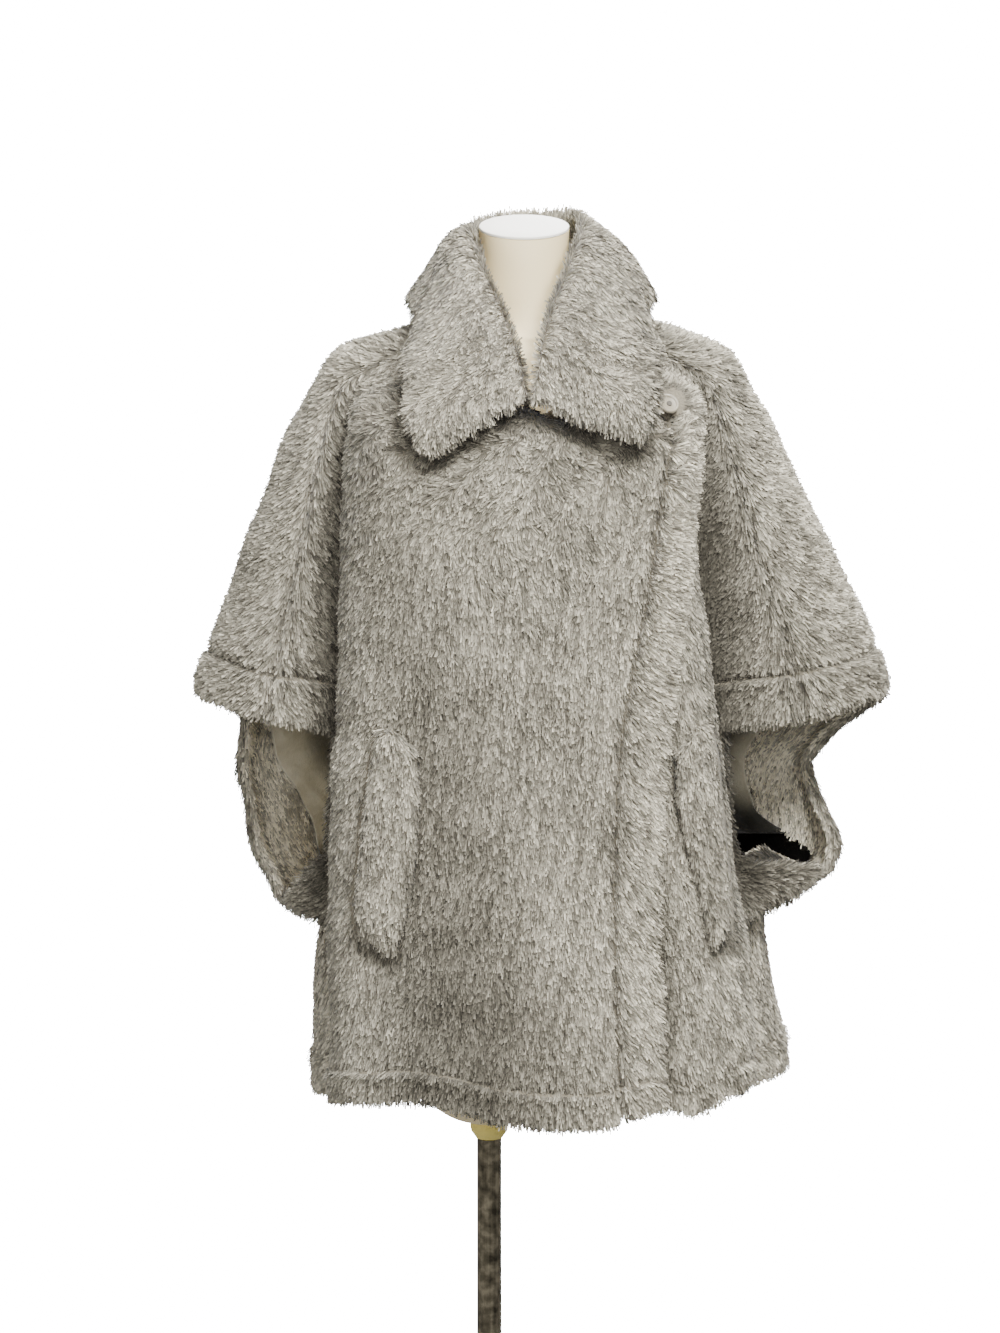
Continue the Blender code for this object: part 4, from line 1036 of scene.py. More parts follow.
def smooth_profile(points, half, steps):
    """Open smooth curves through (stations, stops, 3), with a thickness for each sample."""
    first = 2 * points[:, :1] - points[:, 1:2]
    last = 2 * points[:, -1:] - points[:, -2:-1]
    full = np.concatenate([first, points, last], 1)
    made, thick = [], []
    for k, count in enumerate(steps):
        p0, p1, p2, p3 = (full[:, k + i] for i in range(4))
        chords = (p1 - p0, p2 - p1, p3 - p2)
        d0, d1, d2 = (np.sqrt(np.linalg.norm(c, axis=-1, keepdims=True)) + 1e-9 for c in chords)
        go = ((p2 - p1) / d1 * d0 + (p1 - p0) / d0 * d1) / (d0 + d1) * d1
        come = ((p3 - p2) / d2 * d1 + (p2 - p1) / d1 * d2) / (d1 + d2) * d1
        for t in np.linspace(0, 1, count + 1)[: None if k == len(steps) - 1 else -1]:
            made.append(cubic(p1, p2, go, come, t))
            thick.append(half[k] * (1 - t) + half[k + 1] * t)
    return np.stack(made, 1), np.array(thick)


def collar_profiles(count):
    """Points of the collar's middle at every station, from base to edge, and half thickness."""
    table = columns(COLLAR_COLUMNS, COLLAR)
    stations = np.linspace(1, -1, 2 * count + 1)
    way, hand = np.abs(stations), np.where(stations > 0, -1, 1)
    order = np.argsort(table["way"])
    lift, corner = (np.where(hand > 0, pair[1], pair[-1]) for pair in (COLLAR_LIFT, CORNER_LIFT))
    spread = np.array([COLLAR_SPREAD[h] for h in hand])
    spread = spread[:, 0] + (spread[:, 1] - spread[:, 0]) * ease((way - 0.58) / 0.26)
    lines = {}
    for part in ("roll", "mid", "edge"):
        x, y, z = (glide(way, table["way"][order], table[f"{part}_{a}"][order]) for a in "xyz")
        wide, middle = spread, FALL_MID_X
        if part == "roll":
            wide, middle = 1.0, glide(way, table["way"][order], table["roll_mid"][order])
        z = z + lift * swell((way - 0.22) / 0.22) - BACK_DROP * (1 - ease((way - 0.1) / 0.4))
        z = z + corner * ease((way - 0.7) / 0.3) * (part == "edge")
        lines[part] = np.stack([middle + hand * x * wide, y, z], -1)
    base_line = BACK_MID - hand * (BACK_MID - 0.12) * way
    neck, below = on_coat(base_line, 0 * way)[0], on_coat(base_line, 0 * way + 0.1)[0]
    up = unit(neck - below)
    base = neck + up * COLLAR_BASE
    roll, mid = lines["roll"], lines["mid"]
    edge = rest_on_coat(lines["edge"], WALL / 2 + COLLAR_REST)
    left, right = (glide(way, EDGE_WAYS, EDGE_ASIDE[h]) for h in (1, -1))
    aside = np.where(hand > 0, left, right)[:, None] * [1, 0, 0]
    edge, mid = edge + aside, mid + 0.5 * aside
    aside = unit((mid - roll) * [1, 1, 0])
    stand = 0.4 * base + 0.6 * roll - aside * 1
    fall = roll + aside * 14 + np.array([0, 0, -6.0])
    profile = np.stack([base, base + up * 7, stand, roll, fall, mid, edge], 1)
    half = np.array([2.6, 3.0, 3.2, 4.5, 6.0, COLLAR_HALF, COLLAR_HALF])
    return smooth_profile(profile, half, (3, 4, 4, 5, 8, 9))


path, half = collar_profiles(44)
ends = ((path[0], path[:26, -1]), (path[-1], path[:-27:-1, -1]))
COLLAR_RIMS = [np.concatenate([end[10:], rim]) for end, rim in ends]
print("collar path", path.shape)

# %% [markdown]
# ### Pile on the panels
#
# The pile is left out where another layer hides it, such as under the lap and the pockets. It is shorter
# along each row of stitching, with painted shade there, and it swirls under the collar. A mask could be
# painted, but distances in millimetres stay right when a table changes. The light and shade of the large
# folds are painted too: a few darker troughs and lighter ridges of tone with soft edges, each a row in a
# table.

# %% Pocket welts' places
POCKETS = {
    "right": (
        (970, -104, 954, -63), (936, -111, 914, -62), (896, -118, 874, -64),
        (856, -122, 835, -68), (814, -127, 799, -75), (786, -122, 765, -85),
    ),
    "left": (
        (976, 204, 950, 171), (940, 212, 912, 171), (900, 216, 876, 178),
        (858, 220, 838, 188), (818, 224, 800, 197), (788, 224, 770, 205),
    ),
}  # fmt: skip
WELT_DOWN, WELT_ACROSS = 37, 19


def welt_grid(rows):
    """x and z of a welt's points: straight rows between its two edges, with a raised apex."""
    down, across = np.linspace(0, 1, WELT_DOWN)[:, None], np.linspace(0, 1, WELT_ACROSS)
    stops = np.linspace(0, 1, len(rows))
    outer_z, outer_x, inner_z, inner_x = (glide(down, stops, c) for c in zip(*rows))
    share = 0.04 + 0.92 * across
    x = outer_x * (1 - share) + inner_x * share
    z = outer_z * (1 - share) + inner_z * share
    return x, z + 9 * swell(2 * share - 0.75) * (1 - down) ** 3


def welt_outline(rows):
    """The rim of a welt as a closed row of (x, z)."""
    grid = np.stack(welt_grid(rows), -1)
    return np.concatenate([grid[0, :-1], grid[:-1, -1], grid[-1, :0:-1], grid[:0:-1, 0]])


def distance_to(at, start, end):
    """Shortest distance from each point to any of the segments, in the x and z plane."""
    along = ((at - start) * (end - start)).sum(-1) / np.maximum(((end - start) ** 2).sum(-1), 1e-9)
    foot = start + (end - start) * np.clip(along, 0, 1)[..., None]
    return np.linalg.norm(at - foot, axis=-1).min(1)


def gap_to_outline(x, z, outline):
    """Distance to a closed outline, negative inside it. A point is inside when a level line
    from it crosses the outline an odd number of times."""
    gap = np.full(x.shape, FAR)
    low, high = outline.min(0) - 20, outline.max(0) + 20
    near = (x > low[0]) & (x < high[0]) & (z > low[1]) & (z < high[1])
    at = np.stack([x[near], z[near]], -1)[:, None]
    start, end = outline[None], np.roll(outline, -1, 0)[None]
    spans = (start[..., 1] > at[..., 1]) != (end[..., 1] > at[..., 1])
    rise = np.where(spans, end[..., 1] - start[..., 1], 1.0)
    cross_x = start[..., 0] + (end[..., 0] - start[..., 0]) * (at[..., 1] - start[..., 1]) / rise
    inside = (spans & (at[..., 0] < cross_x)).sum(1) % 2 == 1
    gap[near] = distance_to(at, start, end) * np.where(inside, -1, 1)
    return gap


WELT_OUTLINES = [welt_outline(rows) for rows in POCKETS.values()]
print("welt outlines:", [len(outline) for outline in WELT_OUTLINES], "points")

# %% Folds of the fronts
RING_HEIGHT, FACING_WIDTH = 38.0, 32.0  # mm between two rings, and between two lines of the facing
BUTTON_PLACE = (160, 1267)


# ring stops and values: the line along which the front sinks in, its half width, its shade
SUNK_LINE = (
    ((1.5, 2.5, 3.3, 4.2, 5.2, 8, 16), (-2.3, -1.8, -1.5, -1.3, -1.0, -0.7, -0.65)),
    ((2.5, 4.5, 8, 12, 15), (0.9, 1.1, 0.65, 0.8, 1.35)),
    ((1, 1.8, 5, 8, 12, 15), (0.0, 0.34, 0.42, 0.36, 0.48, 0.62)),
)
# line, half width in lines, change of tone (painted light above zero, painted shade below), rings from which
# and to which it is full, their fades
FRONT_FOLDS = (
    (-2.75, 0.75, -0.26, 1.5, 1.0, 6, 1.5), (0.5, 0.85, 0.22, 8, 5, FAR, 1),
    (1.9, 0.8, 0.28, 9, 4, FAR, 1), (1.15, 0.5, 0.28, 3.5, 1.5, 9, 3),
    (1.75, 1.1, 0.36, -9, 1, 3, 4),
)  # fmt: skip
print("folds of the fronts:", len(FRONT_FOLDS), "and one that wanders")

# %% Length and tone of the pile by place


def stitched_pile(ring, line, inset):
    """What stays, length and tone by the distance in mm to the nearest row of stitching. The tone is
    darkened there as painted shade in the sunk stitching.
    """
    m = np.abs(line)
    hem, cuff = np.abs(ring - HEM_STITCH) * RING_HEIGHT, np.abs(ring - CUFF_STITCH) * RING_HEIGHT
    cuff = np.where((m > SLEEVE_FROM) & (m < 7.9) & (ring < 7.2), cuff, FAR)
    slit = (ring > CUFF_STOP) & (ring < 13.2) & (m > 7) & (m < 8.4)
    facing_stitch = np.where(slit, np.abs(m - FACING_STITCH) * FACING_WIDTH, FAR)
    stitch = np.minimum(np.minimum(hem, cuff), np.minimum(facing_stitch, np.abs(inset - LAP_STITCH)))
    return stitch > 1.2, 1 - 0.45 * swell(stitch / 6), 1 - 0.6 * swell(stitch / 5)


def fold_tone(ring, line, outer):
    """Tone of the cloth's large folds and turned edges: lighter where it faces the light and
    darker in each trough, with soft edges. Outer is True on the cloth's outer side."""
    m, left = np.abs(line), line > 0
    parting = np.where(ring < 6, np.abs(m - OVERARM) * 55.0, FAR)
    tone = 1 - 0.2 * swell(parting / 5)
    valley = swell((m - 4.3) / (0.62 + np.where(left, 0.35, 0.2) * (1 - ease((ring - 4) / 2))))
    valley = valley * ease((ring - 1.0) / 1.2) * (1 - ease((ring - 11) / 2))
    tone = tone * (1 - np.where(left, 0.86, 0.62) * valley)
    hollow, wide, deep = (np.interp(ring, *stops) for stops in SUNK_LINE)
    tone = tone * (1 - deep * swell((line - hollow) / wide))
    for place, half, change, first, fade_in, last, fade_out in FRONT_FOLDS:
        here = ease((ring - first) / fade_in) * (1 - ease((ring - last) / fade_out))
        tone = tone * (1 + change * swell((line - place) / half) * here)
    tone = tone * (1 + 0.42 * left * (m < 7.5) * (ring < 6) * ease((m - 5.6) / 0.6))
    behind = (m > SLEEVE_FROM) & (m < 8) & (ring > 13.4)
    tone = tone * np.where(behind, np.where(left, 1.45, 1.5), 1.0)
    strap = (m > 4.3) & (ring > 10.2) & (ring < 14) & outer & (m < 6.7)
    return tone * np.where(strap, 0.62 + 0.3 * ease((m - 4.8) / 1.6), 1.0)


# %% What stays on a panel


def trim_panel(root, at):
    """What stays, length, tone and curl of the pile on a panel. It is short beside stitching, under the
    lap's edge, round the button and the pocket welts, and under the collar, and painted shade and shadow
    darken it there. Painted light makes the turned bands and the facing in the slits lighter, and painted
    shade darkens the inside of the left sleeve."""
    ring, line = at["ring"], signed(at["line"])
    m, inside = np.abs(line), at["inner"] > 0.5
    stays, size, tone = stitched_pile(ring, line, at["inset"])
    tone = tone * fold_tone(ring, line, ~inside)
    cuff_band = (m > SLEEVE_FROM) & (ring > CUFF_STITCH + 0.15) & (ring < CUFF)
    band_here = (ring > HEM_STITCH + 0.15) | cuff_band | (at["inset"] < 38)
    # Turned bands and the lap's band are painted lighter, as raised cloth that catches more light.
    tone = tone * np.where(band_here & ~inside, np.where(at["inset"] < 38, 1.18, 1.08), 1.0)
    # Painted shadow of the lap's edge on the left front.
    tone = tone * (1 - (0.5 + 0.25 * ease((ring - 9) / 4)) * swell(at["past"] / 21))
    size = size * (1 - 0.4 * swell(at["past"] / 13))
    left_sleeve = inside & (line > SLEEVE_FROM) & (line < OUTER)
    # Painted shade inside the left sleeve.
    tone = np.where(left_sleeve & (ring > 9) & (ring < 14.1), 0.16, tone)
    slit_zone = inside & (m > OUTER) & (ring < 14.1)
    edge = facing_edge(ring, np.sign(line))
    stays &= ~slit_zone | (m < edge - 0.02)
    size = np.where(slit_zone, 0.8 * size, size)
    size = np.where(slit_zone & (line > 0) & (m > edge - 0.14), 0.6 * size, size)
    # The facing in the slits is painted lighter: painted light where little light gets in.
    tone = np.where(slit_zone, 2.2 * tone, tone)
    front = root[:, 1] < 0
    from_button = np.hypot((root[:, 0] - BUTTON_PLACE[0] - 3) / 1.15, root[:, 2] - BUTTON_PLACE[1])
    from_button = np.where(front, from_button, FAR)
    stays &= from_button > 11.5
    size = size * (1 - 0.45 * swell(np.maximum(from_button - 11, 0) / 9))
    # Painted shadow round the button's hollow.
    tone = tone * (1 - 0.7 * swell(np.maximum(from_button - 11, 0) / 7))
    for outline in WELT_OUTLINES:
        gap = np.where(front & (m < 3.1), gap_to_outline(root[:, 0], root[:, 2], outline), FAR)
        stays &= gap > 1.4
        gap = np.maximum(gap, 0)
        middle, bottom = outline[:, 0].mean(), outline[:, 1].min()
        sewn = (root[:, 0] - middle) * np.sign(middle) < 6
        low = ease((bottom + 26 - root[:, 2]) / 20)
        size = size * (1 - 0.45 * swell(gap / 9))
        # Painted shadow along the welt's sewn side and below it.
        tone = tone * (1 - np.maximum(0.6 * sewn, 0.25 + 0.5 * low) * swell(gap / (8 + 9 * low)))
    near = (root[:, 1] < 40) & (ring < 4.5)
    beside = ease((np.abs(root[:, 0] - 44) - 90) / 14)
    for rim in COLLAR_RIMS:
        from_collar_rim = np.full(len(root), FAR)
        curve = rim[None][..., [0, 2]]
        from_collar_rim[near] = distance_to(root[near][:, None, [0, 2]], curve[:, :-1], curve[:, 1:])
        size = size * (1 - 0.45 * swell(from_collar_rim / 13) * (1 - 0.5 * beside))
        # Painted shadow of the collar on the pile below its rim, weaker beside its outer ends.
        tone = tone * (1 - 0.84 * (1 - ease((from_collar_rim - 7) / 22)) * (1 - 0.72 * beside))
    curly = 1 + 4.5 * (1 - ease((ring - 1.4) / 2.4)) * (1 - ease((m - 2.0) / 1.0))
    return stays, size, tone, curly


# %% Grow the panels' pile


def clothe(name, panel_made, parts, seed, **sizes):
    """Grows the pile of a panel in parts, so that no mesh is too large. Each part is a mask."""
    shell, faces, fields = panel_made
    for part, (label, mask) in enumerate(parts.items()):
        here = {**fields, "share": 1.0 * mask}
        grow(f"pile_{name}_{label}", shell, faces, here, trim_panel, seed=seed + part, **sizes)


line = fields_right["line"]
parts = {"lap": line > -0.4, "body": (line <= -0.4) & (line > -3.6), "sleeve": line <= -3.6}
clothe("front_right", (front_right, pile_faces_right, fields_right), parts, 11)
edge_line = np.interp(fields_left["ring"], RINGS, lap[:, 0])
fields_left["past"] = np.maximum((fields_left["line"] - edge_line) * 62.0, 0)
uncovered = {"all": fields_left["line"] >= edge_line - 0.3}
clothe("front_left", (front_left, pile_faces_left, fields_left), uncovered, 21)
line = fields_back["line"]
parts = {
    "left": line < 8.6,
    "middle_left": (line >= 8.6) & (line <= BACK_MID),
    "middle_right": (line > BACK_MID) & (line <= 13.4),
    "right": line > 13.4,
}
coarse = {"spacing": 2.25, "length": 11.0, "width": 2.7}
clothe("back", (back, pile_faces_back, fields_back), parts, 31, **coarse)

# %% [markdown]
# ## Collar
#
# The real collar is two layers of pile cloth, sewn along the edge and turned, so it is plump.
# The shell is a closed wall round the path, thick along the fall and round at its edges. Its
# pile runs down the fall and fans out at the two front corners.

# %% Collar shell
FRONT_IN, RIM_IN = 1.0, EDGE_IN * 0.8
around, along = np.gradient(path, axis=0), np.gradient(path, axis=1)
out = unit(np.cross(around, along))
stations, stops = np.arange(path.shape[0]), np.arange(path.shape[1])
away = np.minimum(stations, stations[::-1])
for order, towards in ((stations, 1), (stations[::-1], -1)):
    path = path + towards * unit(around) * (FRONT_IN * swell(order / 4)[:, None, None])
down_share = stops / stops[-1]
path = path - unit(along) * (RIM_IN * ease((down_share - 0.8) / 0.2))[None, :, None]
roundness = np.sqrt(1 - (1 - np.clip((stops[-1] - stops) / 2.0, 0, 1)) ** 2)
end_round = np.sqrt(1 - (1 - np.clip(away / 2.0, 0, 1)) ** 2)
thick = np.maximum(half * (0.25 + 0.75 * roundness), 1.0)[None] * (0.3 + 0.7 * end_round)[:, None]
pillow = 1.0 * ripple(path, 70, 12)
skin = np.maximum(thick - 2.6, 0.8)
groove = 1.6 * swell((away[:, None] - 7.5) / 1.3) * (down_share > 0.55)
raised, lowered = (skin + pillow - groove)[..., None], (skin - pillow)[..., None]
points, collar_faces = whole_wall(path + out * raised, path - out * lowered)
collar = mesh_object("coat_collar", points, collar_faces)
settle(collar, [BACKING], "collar")
side_of = np.sign(stations - stations[-1] / 2)
fan = np.where(down_share < 0.42, 0.0, 0.25) + 1.3 * swell(away / 6)[:, None]
comb = unit(along) + unit(around) * (fan * side_of[:, None])[..., None]
fields = {"comb": unit(comb), "groove": groove, "down": np.broadcast_to(down_share, groove.shape)}
fields = {key: both_faces(field) for key, field in fields.items()}
fields["out"] = wall_points(out, -out)
under_share = np.broadcast_to(down_share > 0.86, groove.shape).ravel()
fields["share"] = np.concatenate([np.ones(under_share.size), under_share])


def trim_collar(root, at):
    """The pile of the collar is short along the groove of its edge stitching, with painted shade in the
    groove. The whole collar is painted a little lighter, and more where it rolls over into the light."""
    tone = (1.08 - 0.25 * (at["groove"] > 0.9)) * (1 + 0.3 * swell((at["down"] - 0.35) / 0.25))
    return root[:, 2] > 0, 1 - 0.35 * (at["groove"] > 0.5), tone, np.full(len(root), 1.8)


fine_pile = {"spacing": 2.0, "length": 8.5, "width": 2.3}
grow("pile_collar", collar, np.concatenate(collar_faces), fields, trim_collar, seed=41, **fine_pile)

# %% [markdown]
# ## Pocket welts
#
# Each welt is a puffed strip that lies on the front. A pad with a flat back would hang over
# the folds, so its points come from the front's own surface, moved out.

# %% Welts
SEAT_GAP, POCKET_PUFF, POCKET_RIM = 0.8, 11.0, 4.0


def front_place(x, z, lift):
    """(lines, rings) of the points on the fronts that, moved out this far, show at x and z."""
    span = CREST * PER_LINE + 6
    at = np.arange(-span, span + 1)
    part = SURFACE[:, at] + OUTWARD[:, at] * lift
    gaps = (part[None, ..., 0] - x.reshape(-1, 1, 1)) ** 2 + (part[None, ..., 2] - z.reshape(-1, 1, 1)) ** 2
    best = np.argmin(gaps.reshape(len(gaps), -1), 1)
    ring, line = np.divmod(best, len(at))
    return (at[line] / PER_LINE).reshape(x.shape), (ring / PER_RING).reshape(x.shape)


def trim_welt(root, at):
    """Even pile, painted lighter than the coat's for the light that its puff catches, and darkened by
    painted shade downwards, along the sewn side and at its foot.
    """
    seam, foot = swell((1 - at["across"]) / 0.16), swell((1 - at["down"]) / 0.16)
    tone = 1.2 - 0.1 * (at["down"] + 1) - 0.75 * seam - 0.5 * foot
    return root[:, 2] > 0, 1 - 0.4 * seam, tone, np.full(len(root), 1.2)


def welt(name, rows):
    """A strip with its rim on the front, puffed in the middle and flat underneath. Its height
    is a power of the distance from the middle, so that its sides are steep."""
    x, z = welt_grid(rows)
    face = WALL / 2 + SEAT_GAP
    middle, outward = on_coat(*front_place(x, z, face + POCKET_RIM))
    shift = np.stack([x, 0 * x, z], -1) - (middle + outward * (face + POCKET_RIM)) * [1, 0, 1]
    middle = middle + shift * [1, 0, 1]
    down, across = np.linspace(-1, 1, WELT_DOWN)[:, None], np.linspace(-1, 1, WELT_ACROSS)
    puff = (1 - np.abs(across) ** 3) ** 0.6 * (1 - np.abs(down) ** 8) ** 0.5
    high = face - 3.4 + (POCKET_PUFF - 0.6) * puff
    points, faces = whole_wall(middle + outward * high[..., None], middle + outward * (face - 5.0))
    made = mesh_object(f"coat_pocket_welt_{name}", points, faces)
    settle(made, [BACKING], f"pocket_welt_{name}")
    comb = unit(np.gradient(middle, axis=0) + 0.12 * np.gradient(middle, axis=1))
    fields = {"comb": comb, "out": outward, "share": np.ones(high.shape)}
    fields["across"], fields["down"] = (np.broadcast_to(g, high.shape) for g in (across, down))
    fields = {key: both_faces(field) for key, field in fields.items()}
    top_and_rim, size = np.concatenate([faces[0], faces[2]]), {"spacing": 1.9, "length": 9.0, "width": 2.4}
    grow(f"pile_pocket_welt_{name}", made, top_and_rim, fields, trim_welt, seed=51 + len(name), **size)
    return made


WELTS = {name: welt(name, rows) for name, rows in POCKETS.items()}

# %% [markdown]
# ## Sleeve linings
#
# Satin shows inside each open sleeve. It is cut a little long, so it hangs in slack creases.
# They are real waves of the shell, because satin is too smooth to hide a flat outline behind
# a bump.

# %% Linings


def lining(name, hand):
    """A thin shell inside the back of a sleeve: the coat's surface moved in, with creases. Painted shade
    turns it dark away from the opening, once the facing's line and the last lit ring are left behind."""
    last_ring, lit_ring, lit_width = (12.3, 11.0, 0.35) if hand < 0 else (11.3, 9.6, -0.1)
    rings = finer(RING_STOPS[(RING_STOPS > 4.5) & (RING_STOPS < last_ring)], 4)
    start = facing_edge(rings, hand)[:, None] - 0.05
    line = np.sort(hand * (start + (9.8 - start) * np.linspace(0, 1, 33)), axis=1)
    ring = np.broadcast_to(rings[:, None], line.shape)
    middle, outward = on_coat(line, ring)
    slack = 2.6 * np.abs(np.sin(ring * 1.9 + 2.4 * line + ripple(middle, 60, 8)))
    slack = slack + 0.7 * ripple(middle, 25, 9)
    depth = np.maximum(WALL / 2 + SEAT_GAP + 3.0 - slack, WALL / 2 + 0.2)
    outer = middle - outward * depth[..., None]
    points, faces = whole_wall(outer, outer - outward * 1.2)
    made = mesh_object(f"coat_sleeve_lining_{name}", points, faces)
    deep = np.abs(line) - facing_edge(ring, hand)
    tone = 1 - 0.8 * ease((deep - lit_width) / 0.45)
    write_tone(made, both_faces(tone * (1 - 0.95 * ease((ring - lit_ring) / 0.9))))
    print(made.name, len(points), "points")
    return settle(made, [SATIN], f"sleeve_lining_{name}")


LININGS = {"right": lining("right", -1), "left": lining("left", 1)}

# %% [markdown]
# ## Turned pieces: button, pole, plate, socket and cap
#
# A lathe makes these from one outline. The outline is a list of heights and radii, rounded at
# its corners, and it is carried round the axis.

# %% Lathe


def circles(radius, height, steps):
    """Rings of points round the upright axis, one for each radius and height."""
    angle = np.linspace(0, 2 * np.pi, steps, endpoint=False)
    level = np.outer(height, np.ones(steps))
    return np.stack([np.outer(radius, np.cos(angle)), np.outer(radius, np.sin(angle)), level], -1)


def ring_solid(name, rings, first, last, inwards=False):
    """A closed solid from rings of points, top first, with one more point to close each end."""
    rows, steps = rings.shape[:2]
    index = np.arange(rows * steps).reshape(rows, steps)
    ahead = np.roll(index, -1, 1)
    sides = np.stack([index[:-1], index[1:], ahead[1:], ahead[:-1]], -1).reshape(-1, 4)
    top = np.stack([np.full(steps, rows * steps), index[0], ahead[0]], -1)
    bottom = np.stack([np.full(steps, rows * steps + 1), ahead[-1], index[-1]], -1)
    faces = [f[:, ::-1] if inwards else f for f in (sides, top, bottom)]
    return mesh_object(name, np.concatenate([rings.reshape(-1, 3), [first, last]]), faces)


def turned(name, outline, finish_used, steps, fine, node=None):
    """A turned solid from (height, radius) down the side, cut into finer steps."""
    outline = np.array([(outline[0][0], 0.0), *outline, (outline[-1][0], 0.0)], float)
    height, radius = (finer(column, fine) for column in outline.T)
    rings = circles(radius[1:-1], height[1:-1], steps)
    made = ring_solid(name, rings, [0, 0, height[0]], [0, 0, height[-1]])
    made.data.set_sharp_from_angle(angle=math.radians(35))
    return settle(made, [finish_used], node)


# heights and radii in mm, from the top down
POLE_OUTLINE = ((546.7, 11.2), (546.0, 12.0), (10.3, 12.0))
SOCKET_OUTLINE = (
    (566.0, 16.3), (563.5, 17.8), (560.0, 18.5), (556.0, 18.3), (553.0, 17.5), (549.0, 14.6),
    (547.0, 13.4),
)  # fmt: skip
PLATE_OUTLINE = ((10.0, 147.6), (9.6, 149.0), (8.4, 149.9), (1.4, 150.0), (0.4, 149.4), (0.0, 148.2))
pole = turned("stand_pole", POLE_OUTLINE, STEEL, 48, 3, "pole")
socket = turned("stand_socket", SOCKET_OUTLINE, SOCKET_PLASTIC, 64, 2, "pole_socket")
plate = turned("stand_base_plate", PLATE_OUTLINE, PLATE_PAINT, 128, 2, "base_plate")
print("turned pieces:", pole.name, socket.name, plate.name)

# %% [markdown]
# ## The dress form
#
# The form is a smooth limbless shell: oval sections from the neck to the socket, and a flat
# cap that tips forward on the neck. It could be sculpted, but a table of ovals is enough for
# what shows between the collar's halves and under the hem.

# %% Form
FORM = (
    (1421, 42, 41, 33, 0), (1395, 41.5, 41.5, 33, 1), (1368, 42, 42, 33, 2), (1350, 42, 42, 34, 2),
    (1338, 43.5, 43, 36, 2), (1328, 48.5, 46, 38.5, 2), (1320, 70, 50, 39.9, 2),
    (1315, 98, 51, 40.6, 1), (1308, 120, 53, 40, -1), (1297, 137, 57, 40, -3), (1281, 149, 64, 40, -2),
    (1255, 156, 78, 38, -2), (1215, 158, 92, 36, -4), (1150, 150, 106, 33, -8), (1100, 144, 110, 30, -8),
    (1040, 130, 98, 26, -4), (985, 120, 90, 23, 0), (915, 132, 100, 18, 2), (840, 146, 112, 14, 3),
    (770, 146, 114, 10, 3), (700, 136, 108, 6, 2), (645, 112, 92, 3, 1), (605, 80, 72, 1, 0),
    (583, 58, 55, 0, 0), (571, 40, 40, 0, 0), (566.5, 28, 28, 0, 0),
)  # fmt: skip
CAP_TILT = math.radians(14)
CAP_OUTLINE = ((3.0, 40.6), (2.8, 41.4), (2.3, 41.9), (0.6, 42.0), (0.0, 41.6))


def form_shell():
    """Ovals through the table, read finely along its rows. The neck's top leans forward."""
    place = finer(np.arange(len(FORM)), 4)
    height, half_x, half_y, mid_x, mid_y = (glide(place, np.arange(len(FORM)), c) for c in zip(*FORM))
    rings = circles(np.ones(len(place)), height, 96)
    deep = rings[..., 1] * half_y[:, None]
    tilt = math.tan(CAP_TILT) * ease((height - 1370) / 50)
    rings[..., 0] = mid_x[:, None] + rings[..., 0] * half_x[:, None]
    rings[..., 1] = mid_y[:, None] + deep
    rings[..., 2] += deep * tilt[:, None]
    made = ring_solid("stand_form_torso", rings, rings[0].mean(0), rings[-1].mean(0))
    made.data.set_sharp_from_angle(angle=math.radians(40))
    return settle(made, [FORM_PAINT], "form_torso")


form = form_shell()
cap = turned("stand_neck_cap", CAP_OUTLINE, LIT_CAP_PAINT, 96, 2)
cap_up = Vector((0, -math.sin(CAP_TILT), math.cos(CAP_TILT)))
cap_foot = Vector((FORM[0][3], FORM[0][4], FORM[0][0])) + cap_up * 0.3
cap.data.transform(Matrix.Translation(cap_foot * MM) @ Matrix.Rotation(CAP_TILT, 4, "X"))
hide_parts("neck_cap")
print("form and cap:", form.name, cap.name)

# %% [markdown]
# ## Button
#
# One round button sits on the lap's top corner, half under the collar. It is turned like the pole, with a
# dished middle. Its four holes are filled with thread, so a small knot stands for them. Its dark colour is
# the thread's and also painted shade of the holes.

# %% Button
BUTTON_OUTLINE = (
    (2.4, 5.9), (2.6, 6.4), (3.3, 7.1), (3.6, 7.9), (3.6, 8.6), (3.0, 9.4), (2.0, 9.8), (0.9, 9.5),
    (0.0, 8.8),
)  # fmt: skip
THREAD_OUTLINE = ((3.3, 1.6), (3.3, 2.4), (2.45, 2.6))
# Dark thread: its colour also paints the shade in the button's holes.
HOLE_SHADE_THREAD = form_finish("sewing thread", (70, 66, 58), (96, 92, 82), 0.8)
seat = WALL / 2 + 2.5 + WALL + LAP_GAP + SEAT_GAP
middle, outward = on_coat(*front_place(*(np.array([float(v)]) for v in BUTTON_PLACE), seat))
spot = Vector(middle[0] + outward[0] * seat) * MM
turn = Vector(outward[0]).to_track_quat("Z", "Y").to_matrix().to_4x4()
button = turned("coat_button", BUTTON_OUTLINE, HORN, 48, 2)
thread = turned("coat_button_thread", THREAD_OUTLINE, HOLE_SHADE_THREAD, 24, 1)
for made in (button, thread):
    made.data.transform(Matrix.Translation(spot) @ turn)
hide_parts("button")
print("button at", [round(v, 3) for v in spot])

# %% [markdown]
# ## The pile of each piece
#
# Each panel, the collar, the welts and the linings are sheets of cloth. The pile rides along with its panel.

# %% Sheets


def pile_of(part):
    """The meshes of locks that grow on a part."""
    return [o for o in GROWN if o.name.startswith(f"pile_{part}")]


on_right = pile_of("front_right") + [button, thread]
print("declared", 4 + len(WELTS) + len(LININGS), "sheets")

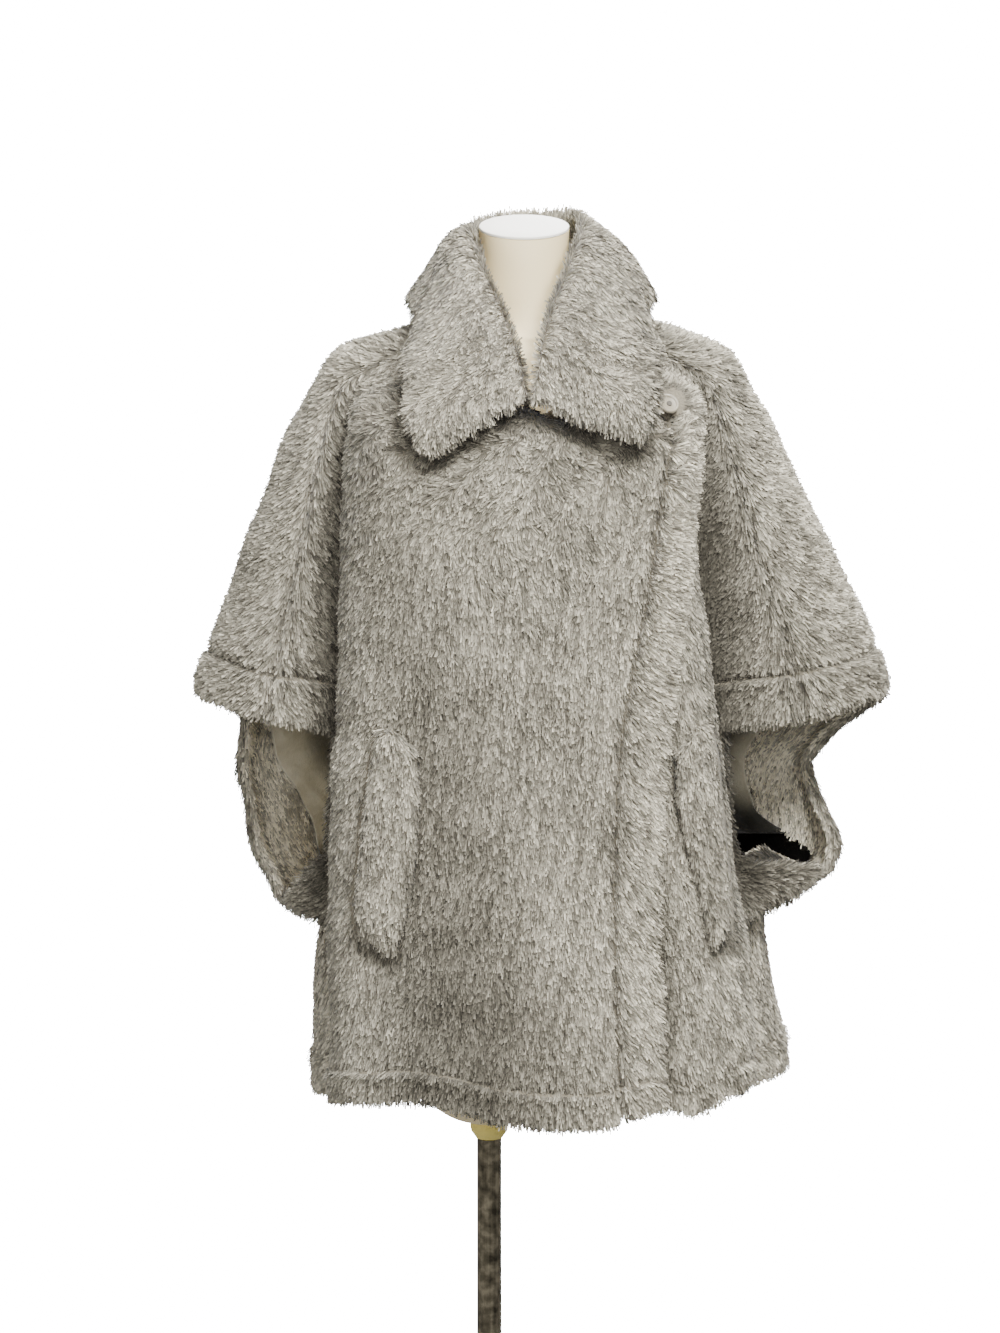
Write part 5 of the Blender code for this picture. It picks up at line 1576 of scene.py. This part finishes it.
# %% [markdown]
# ## Floor, light and camera
#
# A pale floor that rises into a dome stands in for a studio's white tent. The dome glows for
# the camera alone, so the coat is lit only by the air and by five soft lamps: the key above the
# wearer's left shoulder, weaker ones from the top, the front and the other side, and one
# behind, which keeps the back readable.

# %% Studio
FLOOR_PAINT, floor_start = finish(
    "studio paper", (250, 250, 249), 0.9, Specular_IOR_Level=0.0, Emission_Strength=30.0
)
place = floor_start.place()
spot = floor_start.node("ShaderNodeVectorMath", 1, {"operation": "LENGTH"}, i0=place)
smooth = {"interpolation_type": "SMOOTHSTEP"}
# Round the stand the glow fades to grey: a painted shadow on the floor.
near = floor_start.node("ShaderNodeMapRange", 0, smooth, Value=spot, i1=0.1, i2=1.7)
feed(floor_start, "Emission Color", near.blend((30, 30, 30), (255, 255, 254)))
bump(floor_start, place.noise(60.0, 2.0), 0.02, 0.001)
turn = np.linspace(0, np.pi / 2, 13)
bowl = [(8000 * s, 0.0) for s in (0.03, 0.08, 0.15, 0.4, 1.0)]
bowl += [(8000 + 4000 * math.sin(t), 4000 - 4000 * math.cos(t)) for t in turn[1:]]
bowl += [(12000 * math.cos(t), 9000 + 5000 * math.sin(t)) for t in turn[:-1]]
floor = ring_solid("studio_floor", circles(*np.array(bowl).T, 96), [0, 0, 0], [0, 0, 14000], inwards=True)
floor.data.materials.append(FLOOR_PAINT)
floor.visible_diffuse = floor.visible_glossy = floor.visible_shadow = False
scene = bpy.context.scene
world = bpy.data.worlds.new("studio air")
scene.world = world
world.use_nodes = True
air = world.node_tree.nodes["Background"].inputs
air["Color"].default_value = (1.0, 1.0, 1.0, 1)
air["Strength"].default_value = 0.36


def lamp(name, place, target, size, power):
    """A square soft lamp that faces the target."""
    data = bpy.data.lights.new(name, "AREA")
    data.size, data.energy = size, power
    made = bpy.data.objects.new(name, data)
    made.location = place
    made.rotation_euler = (Vector(target) - Vector(place)).to_track_quat("-Z", "Y").to_euler()
    scene.collection.objects.link(made)


lamp("key", (0.95, -1.9, 3.3), (0.05, 0, 1.0), 0.9, 190)
lamp("top", (0.1, -0.5, 3.6), (0.05, 0, 1.2), 1.0, 85)
lamp("front", (0.4, -3.3, 1.9), (0.05, 0, 1.1), 1.2, 42)
lamp("fill", (-2.6, -1.6, 1.6), (0.05, 0, 1.0), 1.6, 34)
lamp("behind", (0.6, 3.0, 3.0), (0.05, 0, 1.0), 1.4, 150)

# %% Camera
PICTURE_HIGH = 1333
FOCAL_PX = 3158.0
data = bpy.data.cameras.new("camera")
data.sensor_fit, data.sensor_height = "VERTICAL", 36.0
data.lens = 36.0 * FOCAL_PX / PICTURE_HIGH
data.clip_end = 50
camera = bpy.data.objects.new("camera", data)
camera.location = (0.0105, -2.97, 1.45)
camera.rotation_euler = (math.radians(90 - 8.45), 0, 0)
scene.collection.objects.link(camera)
scene.camera = camera
print("camera lens", round(data.lens, 2), "mm")
